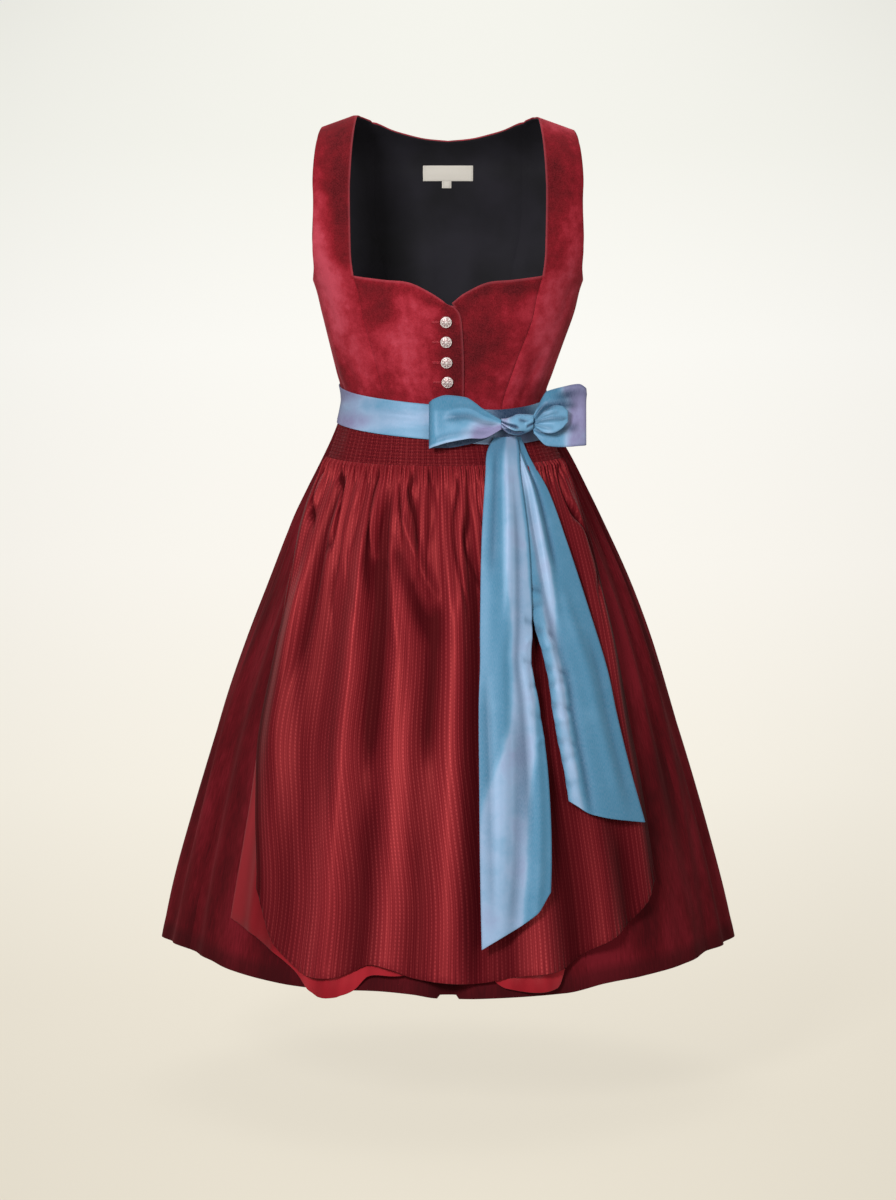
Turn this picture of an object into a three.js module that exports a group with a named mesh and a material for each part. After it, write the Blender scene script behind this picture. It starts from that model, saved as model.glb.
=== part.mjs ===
// A dirndl as it is worn, with no wearer inside: velvet bodice, gathered skirt, shirred apron and taffeta bow.
// Millimetres, +Z up. The front faces -Y, +X is the wearer's left, and the origin lies midway between the tops of
// the two shoulder straps, which carry the whole dress.
import * as THREE from 'three';

// ---- cloths and gaps ------------------------------------------------------------------------------------------

const VELVET = 1.8; // bodice velvet, pile included
const LINING = 1.0;
const SKIRT_CLOTH = 1.4;
const UNDERLAYER = 1.1; // plain satin under the apron
const APRON_CLOTH = 1.4;
const TAFFETA = 1.2;
const SEAM_GAP = 0.3; // clearance between two pieces that are sewn together

// ---- heights of the main lines, measured along the front from the shoulder ------------------------------------

const CHEST_HEIGHT = -80; // above this the form rolls over the shoulder
const SHOULDER_ROUND = 80; // radius of that roll
const NECK_HALF = { right: 115, left: 104 }; // the shoulder line falls away outside these half widths
const SHOULDER_FALL = 0.36;
const WAIST_SEAM = -358;
const SKIRT_HEM = -1033;
const APRON_BAND_FOOT = -416;

// The form that the cloth keeps: half width, depth to the front and to the back, how far the waist sits towards
// the wearer's right, and how square the section is (2 is an ellipse, less is pointed at the sides).
const FORM = [
  { height: -1035, half: 359, front: 296, back: 307, shift: 0, square: 1.85 },
  { height: -957, half: 342, front: 279, back: 292, shift: 0, square: 1.9 },
  { height: -880, half: 322, front: 261, back: 275, shift: 0, square: 1.95 },
  { height: -802, half: 300, front: 241, back: 256, shift: 0, square: 2 },
  { height: -726, half: 277, front: 219, back: 235, shift: 0, square: 2.05 },
  { height: -650, half: 251.5, front: 197, back: 213, shift: 1.5, square: 2.1 },
  { height: -575, half: 222.5, front: 172, back: 188, shift: 1.5, square: 2.2 },
  { height: -500, half: 192, front: 145, back: 160, shift: -1, square: 2.3 },
  { height: -462, half: 174, front: 131, back: 144, shift: -1, square: 2.3 },
  { height: -424, half: 155, front: 115, back: 127, shift: -1, square: 2.3 },
  { height: -387, half: 136, front: 100, back: 106, shift: -3, square: 2.3 },
  { height: -362, half: 127, front: 92, back: 92, shift: -4, square: 2.3 },
  { height: -345, half: 124, front: 90, back: 86, shift: -5, square: 2.3 },
  { height: -314, half: 133, front: 94, back: 87, shift: -4, square: 2.3 },
  { height: -277, half: 144, front: 99, back: 91, shift: -2, square: 2.3 },
  { height: -240, half: 155, front: 103, back: 96, shift: 0, square: 2.3 },
  { height: -208, half: 163, front: 104, back: 100, shift: 0, square: 2.3 },
  { height: -150, half: 186, front: 101, back: 103, shift: 0, square: 2.3 },
  { height: -80, half: 190, front: 88, back: 94, shift: 0, square: 2.3 },
];

// Reads a table at a value of its key, on a smooth curve through its rows.
function smooth(table, key, column, value) {
  const last = table.length - 1;
  const upward = table[last][key] > table[0][key];
  const inside = upward
    ? THREE.MathUtils.clamp(value, table[0][key], table[last][key])
    : THREE.MathUtils.clamp(value, table[last][key], table[0][key]);
  let row = 0;
  while (row < last - 1 && (upward ? inside > table[row + 1][key] : inside < table[row + 1][key])) row += 1;
  const slope = (index) => {
    const before = table[Math.max(index - 1, 0)];
    const after = table[Math.min(index + 1, last)];
    return (after[column] - before[column]) / (after[key] - before[key]);
  };
  const span = table[row + 1][key] - table[row][key];
  const t = (inside - table[row][key]) / span;
  const from = table[row][column] * (2 * t ** 3 - 3 * t ** 2 + 1) + table[row + 1][column] * (3 * t ** 2 - 2 * t ** 3);
  return from + span * (slope(row) * (t ** 3 - 2 * t ** 2 + t) + slope(row + 1) * (t ** 3 - t ** 2));
}

// Reads a table on straight lines between its rows.
function straight(table, key, column, value) {
  const last = table.length - 1;
  const upward = table[last][key] > table[0][key];
  let row = 0;
  while (row < last - 1 && (upward ? value > table[row + 1][key] : value < table[row + 1][key])) row += 1;
  const t = (value - table[row][key]) / (table[row + 1][key] - table[row][key]);
  return THREE.MathUtils.lerp(table[row][column], table[row + 1][column], THREE.MathUtils.clamp(t, 0, 1));
}

const step = (value, from, to) => THREE.MathUtils.smoothstep(value, from, to);
const radians = THREE.MathUtils.degToRad;

// A point of the form: angle in degrees from the centre front towards the wearer's left.
function formPoint(angle, height) {
  const roll = Math.max(0, height - CHEST_HEIGHT) / SHOULDER_ROUND;
  const level = Math.min(height, CHEST_HEIGHT);
  const sine = Math.sin(radians(angle));
  const cosine = Math.cos(radians(angle));
  const square = smooth(FORM, 'height', 'square', level);
  const reach = (Math.abs(sine) ** square + Math.abs(cosine) ** square) ** (-1 / square);
  const depth = smooth(FORM, 'height', cosine > 0 ? 'front' : 'back', level) * Math.cos(roll);
  const x = smooth(FORM, 'height', 'shift', level) + smooth(FORM, 'height', 'half', level) * reach * sine;
  const fall = SHOULDER_FALL * Math.max(0, -x - NECK_HALF.right, x - NECK_HALF.left) * Math.sin(roll);
  return new THREE.Vector3(x, -depth * reach * cosine, level + SHOULDER_ROUND * Math.sin(roll) - fall);
}

// The same point moved out from the form by a lift, or inwards by a negative one.
function onForm(angle, height, lift) {
  const turn = 0.05;
  const rise = 0.5;
  const around = formPoint(angle + turn, height).sub(formPoint(angle - turn, height));
  const up = formPoint(angle, height + rise).sub(formPoint(angle, height - rise));
  return formPoint(angle, height).addScaledVector(around.cross(up).normalize(), lift);
}

// A seam line kept half a seam gap to one side (+1 or -1) of its true angle.
function besideSeam(angle, height, side) {
  const perDegree = formPoint(angle + 0.5, height).distanceTo(formPoint(angle - 0.5, height));
  return angle + (side * SEAM_GAP) / 2 / perDegree;
}

// The angle at which the form is a given distance to the wearer's left at a height.
function angleAcross(x, height) {
  const level = Math.min(height, CHEST_HEIGHT);
  const share = (x - smooth(FORM, 'height', 'shift', level)) / smooth(FORM, 'height', 'half', level);
  const square = smooth(FORM, 'height', 'square', level);
  const power = Math.abs(share) ** square;
  return THREE.MathUtils.radToDeg(Math.atan((power / (1 - power)) ** (1 / square))) * Math.sign(share);
}

// ---- walls of cloth -------------------------------------------------------------------------------------------

// A closed wall between an outer and an inner face. Each face gives its point at (u, v), both from 0 to 1: u runs
// to the right as seen from outside, v runs down. A ring closes on itself. A plain inside has one row only.
function clothWall({ columns, rows, outer, inner, ring = false, plainInside = false }) {
  const across = ring ? columns : columns + 1;
  const innerRows = plainInside ? 1 : rows;
  const positions = [];
  const triangles = [];
  const addFace = (face, faceRows) => {
    const first = positions.length / 3;
    for (let row = 0; row <= faceRows; row += 1) {
      for (let column = 0; column < across; column += 1) positions.push(...face(column / columns, row / faceRows));
    }
    return (row, column) => first + row * across + (column % across);
  };
  const out = addFace(outer, rows);
  const ins = addFace(inner, innerRows);
  const quad = (a, b, c, d) => triangles.push(a, b, c, a, c, d);
  for (let column = 0; column < columns; column += 1) {
    for (let row = 0; row < rows; row += 1) {
      quad(out(row, column), out(row + 1, column), out(row + 1, column + 1), out(row, column + 1));
    }
    for (let row = 0; row < innerRows; row += 1) {
      quad(ins(row, column), ins(row, column + 1), ins(row + 1, column + 1), ins(row + 1, column));
    }
    quad(out(0, column), out(0, column + 1), ins(0, column + 1), ins(0, column));
    quad(out(rows, column + 1), out(rows, column), ins(innerRows, column), ins(innerRows, column + 1));
  }
  if (!ring) {
    for (let row = 0; row < rows; row += 1) {
      const inRow = plainInside ? 0 : row;
      triangles.push(out(row + 1, 0), out(row, 0), ins(inRow, 0));
      triangles.push(out(row, columns), out(row + 1, columns), ins(inRow, columns));
      if (!plainInside || row === rows - 1) {
        triangles.push(out(row + 1, 0), ins(inRow, 0), ins(inRow + 1, 0));
        triangles.push(out(row + 1, columns), ins(inRow + 1, columns), ins(inRow, columns));
      }
    }
  }
  const geometry = new THREE.BufferGeometry();
  geometry.setAttribute('position', new THREE.Float32BufferAttribute(positions, 3));
  geometry.setIndex(triangles);
  return geometry;
}

// A wall that lies on the form. place(u, v) gives its angle, height and lift; the cloth goes inwards from there.
function clothOnForm({ place, cloth, ...grid }) {
  const layer = (depth) => (u, v) => {
    const { angle, height, lift } = place(u, v);
    return onForm(angle, height, lift - depth);
  };
  return clothWall({ ...grid, outer: layer(0), inner: layer(cloth) });
}

const dirndl = new THREE.Group();

function addPiece(name, geometry, material) {
  geometry.computeVertexNormals();
  const piece = new THREE.Mesh(geometry, material);
  piece.name = name;
  dirndl.add(piece);
  return piece;
}

const cloth = (color, roughness) => new THREE.MeshStandardMaterial({ color, roughness, metalness: 0 });
const velvetRed = cloth(0x8c1a24, 0.85);
const navyLining = cloth(0x1a1b22, 0.7);
const labelWhite = cloth(0xe8e6e0, 0.8);
const skirtRed = cloth(0x5a1218, 0.9);
const satinRed = cloth(0xa01c26, 0.4);
const apronRed = cloth(0x7e1a22, 0.55);
const taffetaBlue = cloth(0x6f9dc0, 0.4);
const silver = new THREE.MeshStandardMaterial({ color: 0xc9c2c0, roughness: 0.35, metalness: 0.9 });

// ---- bodice ---------------------------------------------------------------------------------------------------

const PRINCESS = [
  { height: -358, angle: 33.4 },
  { height: -331, angle: 34.3 },
  { height: -282, angle: 37 },
  { height: -241, angle: 39.4 },
  { height: -188, angle: 40 },
];
const CLOSING_EDGE = [
  { height: -358, angle: 11.4 },
  { height: -331, angle: 10.4 },
  { height: -286, angle: 8.5 },
  { height: -249, angle: 6.4 },
  { height: -232, angle: 5.2 },
  { height: -223, angle: 3 },
  { height: -218, angle: -0.4 },
];
const SWEETHEART = [
  { angle: 0.5, height: -218 },
  { angle: 8, height: -204 },
  { angle: 16, height: -193 },
  { angle: 26, height: -190.5 },
  { angle: 40, height: -187 },
];
// Inner edge of the front strap over the corner of the neckline, and its outer edge round the armhole.
const STRAP_INNER = [
  { height: -187, angle: 40 },
  { height: -143, angle: 37.5 },
  { height: -83, angle: 37.2 },
  { height: -29, angle: 36.2 },
  { height: 26, angle: 34.6 },
  { height: 45.7, angle: 34.2 },
];
const ARMHOLE = [
  { height: -206, front: 90, back: 90 },
  { height: -202, front: 84, back: 96 },
  { height: -194, front: 74, back: 105 },
  { height: -182, front: 66, back: 112 },
  { height: -165, front: 61, back: 117 },
  { height: -140, front: 57.2, back: 121 },
  { height: -105, front: 56, back: 123 },
  { height: -64, front: 56, back: 124 },
  { height: -12, front: 54, back: 126 },
  { height: 30, front: 51, back: 129 },
  { height: 45.7, front: 50.5, back: 129.5 },
];
const BACK_NECK = [
  { angle: 145.8, height: 45.7 },
  { angle: 147, height: 24 },
  { angle: 149.3, height: 13 },
  { angle: 152, height: 3 },
  { angle: 155, height: -6 },
  { angle: 159, height: -17 },
  { angle: 164, height: -25 },
  { angle: 171, height: -33 },
  { angle: 180, height: -37 },
];
const BACK_PRINCESS = 152; // degrees from the centre front, straight down from the back neckline
const BACK_PRINCESS_TOP = 3;
const SIDE_SEAM = 90;
const SIDE_ROWS = [45.4, 3, -33, -70, -89, -140, -165, -180, -188, -198, -206, -245, -285, -332, -345, WAIST_SEAM];
const FRONT_ROWS = SIDE_ROWS.filter((height) => height <= -188); // beside the front princess seam
const BACK_ROWS = SIDE_ROWS.filter((height) => height <= BACK_PRINCESS_TOP);
const BACK_LEVEL_ROW = 2; // from here down the back's rows are level; above they follow the neckline
const UNDERLAP_ANGLE = -7; // the left front runs on under the right one to here
const UNDERLAP_DROP = VELVET + 0.6;
const UNDERLAP_CLEAR = 0.8; // degrees past the closing edge where the left front starts to come up
const UNDERLAP_RISE = 6; // and where it lies level again
const LINING_STOPS = -9.5; // the right lining stops short of the underlap

const sideRow = (v) => SIDE_ROWS[Math.round(v * (SIDE_ROWS.length - 1))];

function sideFront(side) {
  return {
    name: side > 0 ? 'side_front_left' : 'side_front_right',
    columns: 3,
    rows: SIDE_ROWS.length - 1,
    place(u, v) {
      const height = sideRow(v);
      const strap = height > STRAP_INNER[0].height;
      const inner = strap
        ? smooth(STRAP_INNER, 'height', 'angle', height)
        : besideSeam(smooth(PRINCESS, 'height', 'angle', height), height, 1);
      const outer =
        height > ARMHOLE[0].height ? smooth(ARMHOLE, 'height', 'front', height) : besideSeam(SIDE_SEAM, height, -1);
      const share = side > 0 ? u : 1 - u;
      return { angle: side * THREE.MathUtils.lerp(inner, outer, share), height, lift: 0 };
    },
  };
}

function sideBack(side) {
  return {
    name: side > 0 ? 'side_back_left' : 'side_back_right',
    columns: 3,
    rows: SIDE_ROWS.length - 1,
    place(u, v) {
      const height = sideRow(v);
      const neckEdge = height > BACK_PRINCESS_TOP;
      const inner = neckEdge
        ? straight(BACK_NECK, 'height', 'angle', height)
        : besideSeam(BACK_PRINCESS, height, -1);
      const outer =
        height > ARMHOLE[0].height ? smooth(ARMHOLE, 'height', 'back', height) : besideSeam(SIDE_SEAM, height, 1);
      const share = side > 0 ? u : 1 - u;
      return { angle: side * THREE.MathUtils.lerp(outer, inner, share), height, lift: 0 };
    },
  };
}

const backCentre = {
  name: 'back_centre',
  columns: 6,
  rows: BACK_ROWS.length - 1,
  place(u, v) {
    const halfTurn = 180 - BACK_PRINCESS;
    const nominal = 180 + (2 * u - 1) * halfTurn;
    const top = smooth(BACK_NECK, 'angle', 'height', 180 - Math.abs(nominal - 180));
    const row = Math.round(v * (BACK_ROWS.length - 1));
    const level = THREE.MathUtils.lerp(top, BACK_ROWS[BACK_LEVEL_ROW], row / BACK_LEVEL_ROW);
    const height = row < BACK_LEVEL_ROW ? level : BACK_ROWS[row];
    const first = besideSeam(BACK_PRINCESS, height, 1);
    return { angle: THREE.MathUtils.lerp(first, 360 - first, u), height, lift: 0 };
  },
};

// A centre front runs through the given angles, from its top edge on the neckline down to the waist.
function centreFront(name, { angles, drop = () => 0, lift = () => 0 }) {
  const columns = angles(WAIST_SEAM).length - 1;
  const rows = FRONT_ROWS.length - 1;
  const fall = FRONT_ROWS[rows] - FRONT_ROWS[0];
  return {
    name,
    columns,
    rows,
    place(u, v) {
      const column = Math.round(u * columns);
      const topAngle = angles(SWEETHEART[0].height)[column];
      const top = smooth(SWEETHEART, 'angle', 'height', Math.abs(topAngle)) - drop(topAngle);
      const share = (FRONT_ROWS[Math.round(v * rows)] - FRONT_ROWS[0]) / fall;
      const height = THREE.MathUtils.lerp(top, WAIST_SEAM, share);
      const angle = angles(height)[column];
      return { angle, height, lift: lift(angle, height) };
    },
  };
}

const evenly = (first, last, count) =>
  Array.from({ length: count + 1 }, (_, index) => THREE.MathUtils.lerp(first, last, index / count));
const princessAt = (height) =>
  besideSeam(smooth(PRINCESS, 'height', 'angle', Math.min(height, FRONT_ROWS[0])), height, -1);
const closingAt = (height) => smooth(CLOSING_EDGE, 'height', 'angle', height);
const rightUnderEdge = (height) => evenly(-princessAt(height), LINING_STOPS, 4);
const rightFront = { angles: (height) => [...rightUnderEdge(height), -1, closingAt(height)] };
const leftFront = {
  angles: (height) => [
    ...evenly(UNDERLAP_ANGLE, closingAt(height) + UNDERLAP_CLEAR, 2),
    ...evenly(closingAt(height) + UNDERLAP_RISE, princessAt(height), 3),
  ],
  drop: (angle) => 3 * (1 - step(angle, 0, UNDERLAP_RISE)),
  lift: (angle, height) =>
    -UNDERLAP_DROP * (1 - step(angle, closingAt(height) + UNDERLAP_CLEAR, closingAt(height) + UNDERLAP_RISE)),
};

const bodicePanels = [
  centreFront('front_right', rightFront),
  centreFront('front_left', leftFront),
  sideFront(-1),
  sideFront(1),
  sideBack(-1),
  sideBack(1),
  backCentre,
];
const liningPanels = [
  centreFront('front_right', { angles: rightUnderEdge }),
  ...bodicePanels.slice(1),
];

bodicePanels.forEach((panel) => {
  addPiece(panel.name, clothOnForm({ ...panel, cloth: VELVET }), velvetRed);
});
liningPanels.forEach((panel) => {
  const place = (u, v) => {
    const spot = panel.place(u, v);
    return { ...spot, lift: spot.lift - VELVET - SEAM_GAP };
  };
  addPiece(`lining_${panel.name}`, clothOnForm({ ...panel, place, cloth: LINING }), navyLining);
});

// ---- neck label and size tab, flat on the back lining -----------------------------------------------------------

const LABEL = { first: 189.3, last: 170.7, top: -70, foot: -89, thick: 0.5 };
const SIZE_TAB = { first: 182.2, last: 178.8, top: -89.6, foot: -98, thick: 0.5 };
const LINING_FACE = -(VELVET + SEAM_GAP + LINING); // the side of the lining that faces the wearer

for (const [name, tag] of [['neck_label', LABEL], ['size_tab', SIZE_TAB]]) {
  const face = (lift) => (u, v) =>
    onForm(THREE.MathUtils.lerp(tag.first, tag.last, u), THREE.MathUtils.lerp(tag.top, tag.foot, v), lift);
  const nearWearer = LINING_FACE - 0.9;
  const geometry = clothWall({ columns: 2, rows: 1, outer: face(nearWearer), inner: face(nearWearer + tag.thick) });
  addPiece(name, geometry, labelWhite);
}

// ---- four domed metal buttons on the right front ----------------------------------------------------------------

const BUTTON_STAND = 0.5;
const BUTTON_SIDES = 14;
const BUTTON_PROFILE = [
  { radius: 0, rise: 0 },
  { radius: 5.2, rise: 0 },
  { radius: 6.9, rise: 1.1 },
  { radius: 6.4, rise: 2.2 },
  { radius: 4.6, rise: 2.6 },
  { radius: 2.6, rise: 3.9 },
  { radius: 0, rise: 4.4 },
];
const BUTTONS = [
  { height: -240, angle: -0.9 },
  { height: -264.5, angle: -0.4 },
  { height: -290, angle: 0.4 },
  { height: -314.5, angle: 1.4 },
];

BUTTONS.forEach(({ height, angle }, index) => {
  const profile = BUTTON_PROFILE.map(({ radius, rise }) => new THREE.Vector2(radius, rise));
  const button = addPiece(`button_${index + 1}`, new THREE.LatheGeometry(profile, BUTTON_SIDES), silver);
  const foot = onForm(angle, height, BUTTON_STAND);
  const outward = onForm(angle, height, BUTTON_STAND + 1).sub(foot);
  button.position.copy(foot);
  button.quaternion.setFromUnitVectors(new THREE.Vector3(0, 1, 0), outward.normalize());
});

// ---- skirt ------------------------------------------------------------------------------------------------------

// Gathers run from the apron's sides round the back and melt into half as many long folds. Both go inwards from
// the form. The front lies smooth under the apron.
const GATHERS = 38;
const GATHERS_FROM = 62; // degrees from the centre front, on each side
const SKIRT_ROWS = [-358.4, -392, -432, -500, -610, -790, SKIRT_HEM];
const FOLD_DEPTH = [
  { height: -350, gather: 1.5, fold: 0 },
  { height: -400, gather: 3, fold: 0.5 },
  { height: -470, gather: 2.6, fold: 3 },
  { height: -580, gather: 0.8, fold: 5 },
  { height: -700, gather: 0, fold: 6 },
  { height: -1035, gather: 0, fold: 8 },
];
// How far the hem lies above its lowest line, by angle: it swings up at the sides and a little right of the middle.
const HEM_RISE = [
  { angle: -180, rise: 2 },
  { angle: -110, rise: 6 },
  { angle: -90, rise: 8 },
  { angle: -73, rise: 16 },
  { angle: -60, rise: 15 },
  { angle: -50, rise: 9 },
  { angle: -38, rise: 5 },
  { angle: -26, rise: 4 },
  { angle: -14, rise: 7 },
  { angle: -7, rise: 5 },
  { angle: -2, rise: 1 },
  { angle: 24, rise: 0 },
  { angle: 33, rise: 6 },
  { angle: 45, rise: 8 },
  { angle: 56, rise: 10 },
  { angle: 68, rise: 14 },
  { angle: 90, rise: 8 },
  { angle: 110, rise: 6 },
  { angle: 180, rise: 2 },
];
const HEM_NOTCH = { angle: 0, width: 2.6, depth: 11, from: -850 }; // a pleat that opens at the centre front

function skirtLift(angle, height) {
  const turned = ((angle + 180) % 360) - 180;
  const away = Math.abs(turned);
  const place = (angle - GATHERS_FROM) / (360 - 2 * GATHERS_FROM);
  const uneven = 0.72 + 0.28 * Math.sin(radians(5 * angle) + 1);
  const wander = 0.7 * Math.sin(radians(7 * angle)) + 0.4 * Math.sin(radians(13 * angle));
  const wave = (count) => (1 - Math.cos(2 * Math.PI * count * place + wander)) / 2;
  const fine = straight(FOLD_DEPTH, 'height', 'gather', height) * wave(GATHERS);
  const long = straight(FOLD_DEPTH, 'height', 'fold', height) * wave(GATHERS / 2) * uneven;
  const beyondApron = step(away, GATHERS_FROM - 12, GATHERS_FROM + 4);
  const notch = HEM_NOTCH.depth * step(-height, -HEM_NOTCH.from, -SKIRT_HEM);
  return -(fine + long) * beyondApron - notch * Math.exp(-(((turned - HEM_NOTCH.angle) / HEM_NOTCH.width) ** 2));
}

const hemRise = (angle) => smooth(HEM_RISE, 'angle', 'rise', ((angle + 180) % 360) - 180);

const SKIRT_PANELS = [
  { name: 'skirt_front', first: -68, last: 68, columns: 24 },
  { name: 'skirt_side_left', first: 68, last: 138, columns: 45 },
  { name: 'skirt_back', first: 138, last: 222, columns: 54 },
  { name: 'skirt_side_right', first: 222, last: 292, columns: 45 },
];

SKIRT_PANELS.forEach(({ name, first, last, columns }) => {
  const rows = SKIRT_ROWS.length - 1;
  const place = (u, v) => {
    const level = SKIRT_ROWS[Math.round(v * rows)];
    const angle = THREE.MathUtils.lerp(besideSeam(first, level, 1), besideSeam(last, level, -1), u);
    const height = level + (v === 1 ? hemRise(angle) : 0);
    return { angle, height, lift: skirtLift(angle, height) };
  };
  addPiece(name, clothOnForm({ columns, rows, place, cloth: SKIRT_CLOTH }), skirtRed);
});

// ---- apron ------------------------------------------------------------------------------------------------------

const UNDERLAYER_LIFT = 2.8; // outer face of the satin above the skirt
const BAND_LIFT = 4.6;
const APRON_LIFT = 6.8;
const APRON_GATHERS = 46;
const APRON_EDGES = [
  { height: -358, first: -69, last: 64 },
  { height: -413, first: -65.6, last: 60.5 },
  { height: -535, first: -56.9, last: 54.5 },
  { height: -647, first: -53, last: 51.5 },
  { height: -747, first: -51.2, last: 50 },
  { height: -816, first: -47.7, last: 49.4 },
  { height: -920, first: -43, last: 48.7 },
  { height: -1020, first: -43, last: 48.7 },
];
const APRON_HEM = [
  { across: 0, height: -920 },
  { across: 0.053, height: -974 },
  { across: 0.1, height: -995 },
  { across: 0.16, height: -1013 },
  { across: 0.22, height: -1014 },
  { across: 0.265, height: -1004 },
  { across: 0.3, height: -995 },
  { across: 0.35, height: -999 },
  { across: 0.4, height: -1009 },
  { across: 0.515, height: -1015 },
  { across: 0.61, height: -1009 },
  { across: 0.717, height: -1004 },
  { across: 0.775, height: -987 },
  { across: 0.86, height: -970 },
  { across: 0.956, height: -939 },
  { across: 1, height: -913 },
];
// The large folds: the height where each ridge starts, the angle it has there and at the hem, how far it bows out
// between them, its widths on both sides, and its rise at mid length and at the hem.
const APRON_FOLDS = [
  { start: -440, top: -52, hem: -37, bow: 0, left: 7, right: 4.5, rise: 13, foot: 5 },
  { start: -430, top: -31, hem: -24.7, bow: 2.4, left: 5.5, right: 3, rise: 15, foot: 13 },
  { start: -430, top: -17, hem: -12, bow: 2, left: 3.6, right: 4.5, rise: 13, foot: 12 },
  { start: -430, top: 2.5, hem: -0.3, bow: 0, left: 3.6, right: 4.2, rise: 12, foot: 12 },
  { start: -430, top: 16, hem: 18.5, bow: 0, left: 4.5, right: 4.5, rise: 6, foot: 11 },
  { start: -440, top: 34, hem: 34, bow: 0, left: 4, right: 5, rise: 5, foot: 10 },
  { start: -440, top: 50, hem: 44, bow: 0, left: 4, right: 3, rise: 8, foot: 4 },
];

function apronFolds(angle, height) {
  return APRON_FOLDS.reduce((sum, fold) => {
    const down = THREE.MathUtils.clamp((height - fold.start) / (SKIRT_HEM - fold.start), 0, 1);
    const centre = THREE.MathUtils.lerp(fold.top, fold.hem, down) + 4 * fold.bow * down * (1 - down);
    const grown = THREE.MathUtils.lerp(fold.rise * step(down, 0, 0.3), fold.foot, step(down, 0.45, 1));
    return sum + grown * Math.exp(-(((angle - centre) / (angle < centre ? fold.left : fold.right)) ** 2));
  }, 0);
}

const UNDERLAYER_EDGES = [
  { height: -358, first: -66, last: 62 },
  { height: -535, first: -57.5, last: 52 },
  { height: -700, first: -53.6, last: 48 },
  { height: -831, first: -51.2, last: 46 },
  { height: -1035, first: -51.5, last: 45 },
];
const UNDERLAYER_HEM = [
  { across: 0, height: -962 },
  { across: 0.045, height: -969 },
  { across: 0.1, height: -980 },
  { across: 0.2, height: -1010 },
  { across: 0.245, height: -1032 },
  { across: 0.3, height: -1036 },
  { across: 0.34, height: -1027 },
  { across: 0.37, height: -1009 },
  { across: 0.43, height: -1007 },
  { across: 0.5, height: -1002 },
  { across: 0.6, height: -1002 },
  { across: 0.65, height: -1022 },
  { across: 0.76, height: -1025 },
  { across: 0.79, height: -990 },
  { across: 0.9, height: -968 },
  { across: 1, height: -940 },
];

// A panel hung from the waist between two side edges, down to a curved hem.
function hungPanel({ edges, hem, rowShares, top, lift }) {
  const rows = rowShares.length - 1;
  return (u, v) => {
    const foot = smooth(hem, 'across', 'height', u);
    const height = THREE.MathUtils.lerp(top, foot, rowShares[Math.round(v * rows)]);
    const first = smooth(edges, 'height', 'first', height);
    const angle = THREE.MathUtils.lerp(first, smooth(edges, 'height', 'last', height), u);
    return { angle, height, lift: lift(u, angle, height) };
  };
}

const UNDERLAYER_SHARES = [0, 0.18, 0.45, 0.75, 1];
addPiece(
  'apron_underlayer',
  clothOnForm({
    columns: 38,
    rows: UNDERLAYER_SHARES.length - 1,
    cloth: UNDERLAYER,
    place: hungPanel({
      edges: UNDERLAYER_EDGES,
      hem: UNDERLAYER_HEM,
      rowShares: UNDERLAYER_SHARES,
      top: APRON_BAND_FOOT - SEAM_GAP,
      lift: (u, angle, height) => UNDERLAYER_LIFT + 0.7 * apronFolds(angle, height),
    }),
  }),
  satinRed,
);

// Fine gathers below the band, uneven in width, which fade into the large folds.
const APRON_GATHER_DEPTH = [
  { height: -416, depth: 0.9 },
  { height: -440, depth: 1.9 },
  { height: -480, depth: 1.5 },
  { height: -560, depth: 0.6 },
  { height: -680, depth: 0 },
];
const APRON_SHARES = [0, 0.05, 0.15, 0.35, 0.65, 1];
const COLUMNS_A_GATHER = 3;

function apronLift(u, angle, height) {
  const wander = 1.1 * Math.sin(2 * Math.PI * 5 * u) + 0.6 * Math.sin(2 * Math.PI * 11 * u);
  const gather = straight(APRON_GATHER_DEPTH, 'height', 'depth', height);
  const spread = 0.9 * gather + 1.5 * step(-height, 416, 480);
  return APRON_LIFT + spread + gather * Math.cos(2 * Math.PI * APRON_GATHERS * u + wander) + apronFolds(angle, height);
}

addPiece(
  'apron',
  clothOnForm({
    columns: APRON_GATHERS * COLUMNS_A_GATHER,
    rows: APRON_SHARES.length - 1,
    cloth: APRON_CLOTH,
    place: hungPanel({
      edges: APRON_EDGES,
      hem: APRON_HEM,
      rowShares: APRON_SHARES,
      top: APRON_BAND_FOOT - SEAM_GAP,
      lift: apronLift,
    }),
  }),
  apronRed,
);

// The shirred band: rows of gathering stitches with a small ridge between each two, over a plain inside.
const SHIRR_ROWS = 10;
const SHIRR_RISE = 0.9;
const SHIRR_TOP = -376;

addPiece(
  'apron_band',
  clothOnForm({
    columns: 30,
    rows: 2 * SHIRR_ROWS + 1,
    cloth: APRON_CLOTH,
    plainInside: true,
    place(u, v) {
      const ridge = v * (2 * SHIRR_ROWS + 1) - 1;
      const plain = ridge < 0 || v === 1;
      const height = ridge < 0 ? WAIST_SEAM : THREE.MathUtils.lerp(SHIRR_TOP, APRON_BAND_FOOT, ridge / 2 / SHIRR_ROWS);
      const first = smooth(APRON_EDGES, 'height', 'first', height);
      const angle = THREE.MathUtils.lerp(first, smooth(APRON_EDGES, 'height', 'last', height), u);
      const raised = !plain && Math.round(ridge) % 2 === 1 ? SHIRR_RISE : 0;
      return { angle, height, lift: BAND_LIFT + raised };
    },
  }),
  apronRed,
);

// ---- sash -------------------------------------------------------------------------------------------------------

const SASH_WIDTH = 43;
const SASH_TOP = [
  { angle: -180, height: -333 },
  { angle: -90, height: -331 },
  { angle: -70, height: -332 },
  { angle: -8, height: -342 },
  { angle: 22, height: -349 },
  { angle: 35, height: -350 },
  { angle: 70, height: -345 },
  { angle: 120, height: -336 },
  { angle: 180, height: -333 },
];

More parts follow.
